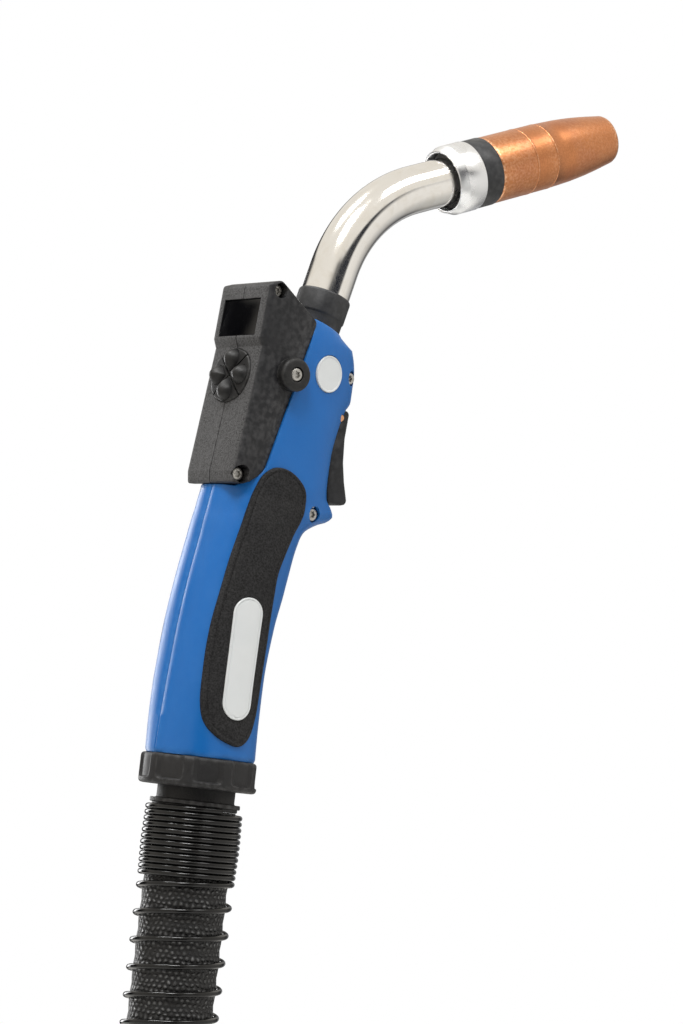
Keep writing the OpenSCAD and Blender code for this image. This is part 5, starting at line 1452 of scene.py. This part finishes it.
# %% Connector pieces: radii, and distances along the plug
ribs_outer = []
for k in range(11):
    s = -17.0 + 5.0 * k
    r = 18.75 + 1.75 * (s + 20) / 60
    rib = [(0, 0), (0, 2.9), (0.25, 3.2), (1.1, 3.4), (1.1, 4.5), (0.25, 4.75)]
    ribs_outer += [(r - sunk, s + on) for sunk, on in rib]
RELIEF = [(0.001, 26.2), (17.45, 26.2), (17.45, -20.0), (18.0, -20.0), (18.5, -19.6)] + ribs_outer
RELIEF += [(20.5, 38.4), (20.4, 39.5), (19.9, 40.0), (0.001, 40.0)]
BODY = [(0.001, 40.1), (21.2, 40.1), (21.75, 40.4), (22.0, 41.2)]
for s in (48, 54, 60, 66, 72):
    BODY += [(22.0, s), (21.85, s + 0.3), (21.3, s + 0.5), (21.3, s + 2.3), (21.85, s + 2.5), (22.0, s + 2.8)]
BODY += [
    (22.0, 95.2), (21.7, 95.85), (21.2, 96.0), (19.7, 96.0), (19.7, 121.4), (19.2, 122.0), (9.7, 122.0),
    (9.52, 121.8), (9.52, 102.0), (0.001, 102.0),
]
NUT = [
    (20.5, 96.3), (25.0, 96.3), (25.7, 96.6), (26.0, 97.3), (26.0, 112.0), (26.0, 127.3), (25.7, 128.0),
    (25.0, 128.3), (20.6, 128.3), (20.0, 127.8), (20.0, 96.8),
]
PIN = [
    (2.0, 107.0), (2.0, 102.0), (9.5, 102.0), (9.5, 131.4), (9.1, 132.0), (8.5, 132.0), (8.5, 138.0),
    (7.9, 138.3), (7.9, 140.2), (8.5, 140.5), (8.5, 146.0), (7.9, 146.3), (7.9, 148.2), (8.5, 148.5),
    (8.5, 158.6), (8.0, 159.6), (7.4, 160.0), (4.4, 160.0), (4.02, 159.6), (4.02, 148.0), (2.0, 148.0),
]
CONTACT = [
    (0.001, 112.8), (1.4, 112.8), (1.6, 113.0), (1.6, 129.6), (1.45, 130.2), (1.0, 130.65), (0.5, 130.8),
    (0.001, 130.8),
]
NIPPLE = [
    (2.0, 148.1), (3.9, 148.1), (4.0, 148.3), (4.0, 166.4), (3.65, 166.55), (3.45, 167.0), (3.65, 167.45),
    (4.0, 167.6), (4.0, 171.2), (3.7, 171.8), (3.3, 172.0), (2.3, 172.0), (2.0, 171.7),
]
CONTACT_X, CONTACT_BORE_R = {"left": 14, "right": -14}, 1.66
SCALLOPS, SCALLOP_R, SCALLOP_AT = 12, 3, 27.6


def scallops(r, t, angle):
    """The nut's radius: round hollows, whose centres lie outside its rim."""
    if r < 21:
        return r
    step = 2 * math.pi / SCALLOPS
    off = ((angle / step + 0.5) % 1.0 - 0.5) * step
    across = SCALLOP_AT * math.sin(off)
    if abs(across) >= SCALLOP_R:
        return r
    return min(r, SCALLOP_AT * math.cos(off) - math.sqrt(SCALLOP_R**2 - across * across))


relief = lathe("ribbed_relief", RELIEF, at_plug(), 96)
fit(relief, "torch", pad_rubber, ["connector_relief"])
plug_body = lathe("plug_body", BODY, at_plug(), 128)
at_contact = {word: at_plug() @ Matrix.Translation((x, 0, 0)) for word, x in CONTACT_X.items()}
bores = [drum("signal hole", CONTACT_BORE_R, 110, 130, at_contact[w], 48) for w in ("right", "left")]
combine(plug_body, bores)
fit(plug_body, "torch", moulded, ["connector_body"])
nut = smooth(lathe("scalloped_nut", NUT, at_plug(), 432, flute=scallops), 24)
fit(nut, "coupling_nut", moulded, ["connector_nut"])
pin = lathe("power_pin_turned", PIN, at_plug(), 96)
fit(pin, "torch", brass, ["power_pin"])
for word, place in at_contact.items():
    made = lathe("contact_" + word, CONTACT, place, 32)
    fit(made, "signal_pin_" + word, brass, ["signal_pin_" + word])
nipple = lathe("gas_nipple_turned", NIPPLE, at_plug(), 64)
fit(nipple, "torch", brass, ["gas_nipple"])

# %% [markdown]
# ## What is inside
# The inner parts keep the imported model's shapes, which are already turned or flat: the contact tip and
# its seat, the brass block that holds the neck, the switch, the board and the lead. They only need their
# finishes: machined brass and copper, a green board with its net of tracks, black plastic and rubber.

# %% Board finish: green varnish over a net of tracks
board = Finish("board_green", Coat_Weight=0.5, Coat_Roughness=0.12)
where = board.out("TexCoord", "Object")
net = [("Vector", where), ("Scale", 260.0), ("Mortar Size", 0.035), ("Mortar Smooth", 0.2)]
tracks = board.out("TexBrick", "Fac", net)
cloud = board.group(grain, 3000.0, 300.0)
green = board.mix(cloud[1], (0.006, 0.075, 0.03), (0.014, 0.12, 0.05))
board.feed("Base Color", board.mix(tracks, green, (0.06, 0.22, 0.09)))
board.feed("Roughness", board.span(cloud[1], 0.25, 0.45))
board.bump(tracks, 0.00004, 0.8)

# %% Red plunger, the lead's rubber, the tip's copper and machined brass, put on the inner solids
red = grained(
    "plunger_red", 2600.0, 300.0, [(0.42, 0.012, 0.008), (0.62, 0.03, 0.02)], rough=(0.28, 0.45),
    relief=(0.00004, 0.5), Specular_IOR_Level=0.5,
)
lead_rubber = grained(
    "lead_black", 1900.0, 110.0, [(0.010, 0.010, 0.011), (0.024, 0.024, 0.025)], rough=(0.5, 0.72),
    relief=(0.0001, 0.6), dusty=(0.3, 120.0, 0.16), Specular_IOR_Level=0.4,
)
tip_metal = grained(
    "tip_copper", 3600.0, 500.0, [(0.55, 0.24, 0.12), (0.80, 0.42, 0.25)], rough=(0.2, 0.36),
    relief=(0.00003, 0.5), Metallic=1.0,
)
block_brass = grained(
    "machined_brass", 2800.0, 260.0, [(0.52, 0.36, 0.15), (0.78, 0.59, 0.30)], rough=(0.2, 0.38),
    relief=(0.00003, 0.5), Metallic=1.0,
)
INNER = {
    "contact_tip": tip_metal, "gas_diffuser": block_brass, "neck_head": block_brass,
    "neck_block": block_brass, "switch_body": moulded, "switch_bracket": moulded, "switch_plunger": red,
    "power_lead": lead_rubber, "pod_base": moulded, "display_board": board,
}
for name, finish in INNER.items():
    inner_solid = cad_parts[name]
    inner_solid.data.materials.clear()
    inner_solid.data.materials.append(finish.material)
    smooth(inner_solid, 30)
print("inner solids finished:", len(INNER))

# %% [markdown]
# ## Light
# Polished metal shows the room and not itself, so the room is made for it: a pale world with bright
# panels and dark flags at set directions, which draws the long dark and white lines along the neck. Four
# soft lamps give the broad streaks on the plastic and the bright line on the handle's edge, and the floor
# is a pale disc below the coil.

# %% World: soft panels and dark flags round the tool
CREAM, DARK, NIGHT, WARM_ROOF, LOW_GREY = (
    (0.84, 0.79, 0.71), (0.02, 0.022, 0.028), (0.02, 0.02, 0.025), (0.84, 0.80, 0.73), (0.50, 0.49, 0.46)
)
RAMP = [  # share of a turn, and the tone there
    (0.00, CREAM), (0.118, CREAM), (0.124, NIGHT), (0.210, DARK), (0.225, (0.97, 0.95, 0.90)),
    (0.30, (0.92, 0.89, 0.84)), (0.43, (0.80, 0.77, 0.72)), (0.50, (0.50, 0.49, 0.47)),
    (0.57, (0.05, 0.05, 0.055)), (0.60, (0.5, 0.5, 0.5)), (0.66, (0.05, 0.05, 0.05)), (0.855, NIGHT),
    (0.875, CREAM), (1.00, CREAM),
]
world = bpy.data.worlds.new("studio")
bpy.context.scene.world = world
world.use_nodes = True
sky = Nodes(world.node_tree)
x, y, z = sky.add("SeparateXYZ", [(0, sky.out("TexCoord", "Generated"))]).outputs
turn_share = sky.math("MULTIPLY_ADD", sky.math("ARCTAN2", y, x), 1 / (2 * math.pi))
turn_share.node.inputs[2].default_value = 0.5
panels = sky.add("ValToRGB", [(0, turn_share)])
ramp = panels.color_ramp
for i, (at, tone) in enumerate(RAMP):
    stop = ramp.elements[i] if i < 2 else ramp.elements.new(at)
    stop.position, stop.color = at, (*tone, 1)
roof = sky.mix(sky.span(z, 0.0, 1.0, 0.34, 0.40), panels.outputs[0], WARM_ROOF)
shade = 1.0
flag_edges = [(z, 0.12, 0.15), (z, 0.37, 0.33), (turn_share, 0.165, 0.185), (turn_share, 0.345, 0.325)]
for value, start, end in flag_edges:
    shade = sky.math("MULTIPLY", sky.span(value, 0.0, 1.0, start, end), shade)
flagged = sky.mix(shade, roof, DARK)
lit = sky.mix(sky.span(z, 0.0, 1.0, -0.30, -0.60), flagged, LOW_GREY)
shown = sky.mix(sky.out("LightPath", "Is Camera Ray"), lit, 1.0)
background = world.node_tree.nodes["Background"]
world.node_tree.links.new(shown, background.inputs["Color"])
background.inputs["Strength"].default_value = 1.0

# %% Soft lamps
LAMP_FAR = 1.5


def lamp(name, azimuth, elevation, width, tall, watts):
    """A soft area lamp that looks at the tool from a compass direction and a height, in degrees."""
    data = bpy.data.lights.new(name, "AREA")
    data.shape, data.size, data.size_y, data.energy = "RECTANGLE", width, tall, watts
    a, e = math.radians(azimuth), math.radians(elevation)
    way = Vector((math.cos(a) * math.cos(e), math.sin(a) * math.cos(e), math.sin(e)))
    turn = way.to_track_quat("Z", "Y").to_matrix().to_4x4()
    new_object(name, data).matrix_world = Matrix.Translation(LOOK_AT + way * LAMP_FAR) @ turn
    print("lamp", name, watts, "W")


lamp("key", -141, 54, 0.45, 0.45, 12)
lamp("left_edge", 150, 62, 0.25, 0.5, 9)
lamp("right_soft", -70, 60, 0.5, 0.5, 5)
lamp("back_soft", 94, 0, 0.45, 0.9, 8)

# %% Floor: a pale disc under the coil
FLOOR_R, FLOOR_X, FLOOR_Y, FLOOR_SIDES, FLOOR_BELOW = 0.95, 0.2, 0.22, 96, 0.0005
floor_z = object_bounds()[0].z - FLOOR_BELOW
turns = np.linspace(0, 2 * math.pi, FLOOR_SIDES + 1)[:-1]
rim = [(FLOOR_X + FLOOR_R * math.cos(a), FLOOR_Y + FLOOR_R * math.sin(a), floor_z) for a in turns]
floor = piece("floor", rim, [tuple(range(FLOOR_SIDES))])
paper = Finish("floor_paper", Roughness=0.9)
fibre = paper.group(grain, 400.0, 6.0)
paper.feed("Base Color", paper.mix(fibre[1], (0.80, 0.80, 0.79), (0.86, 0.86, 0.85)))
floor.data.materials.append(paper.material)
bpy.context.scene.view_settings.view_transform = "Standard"
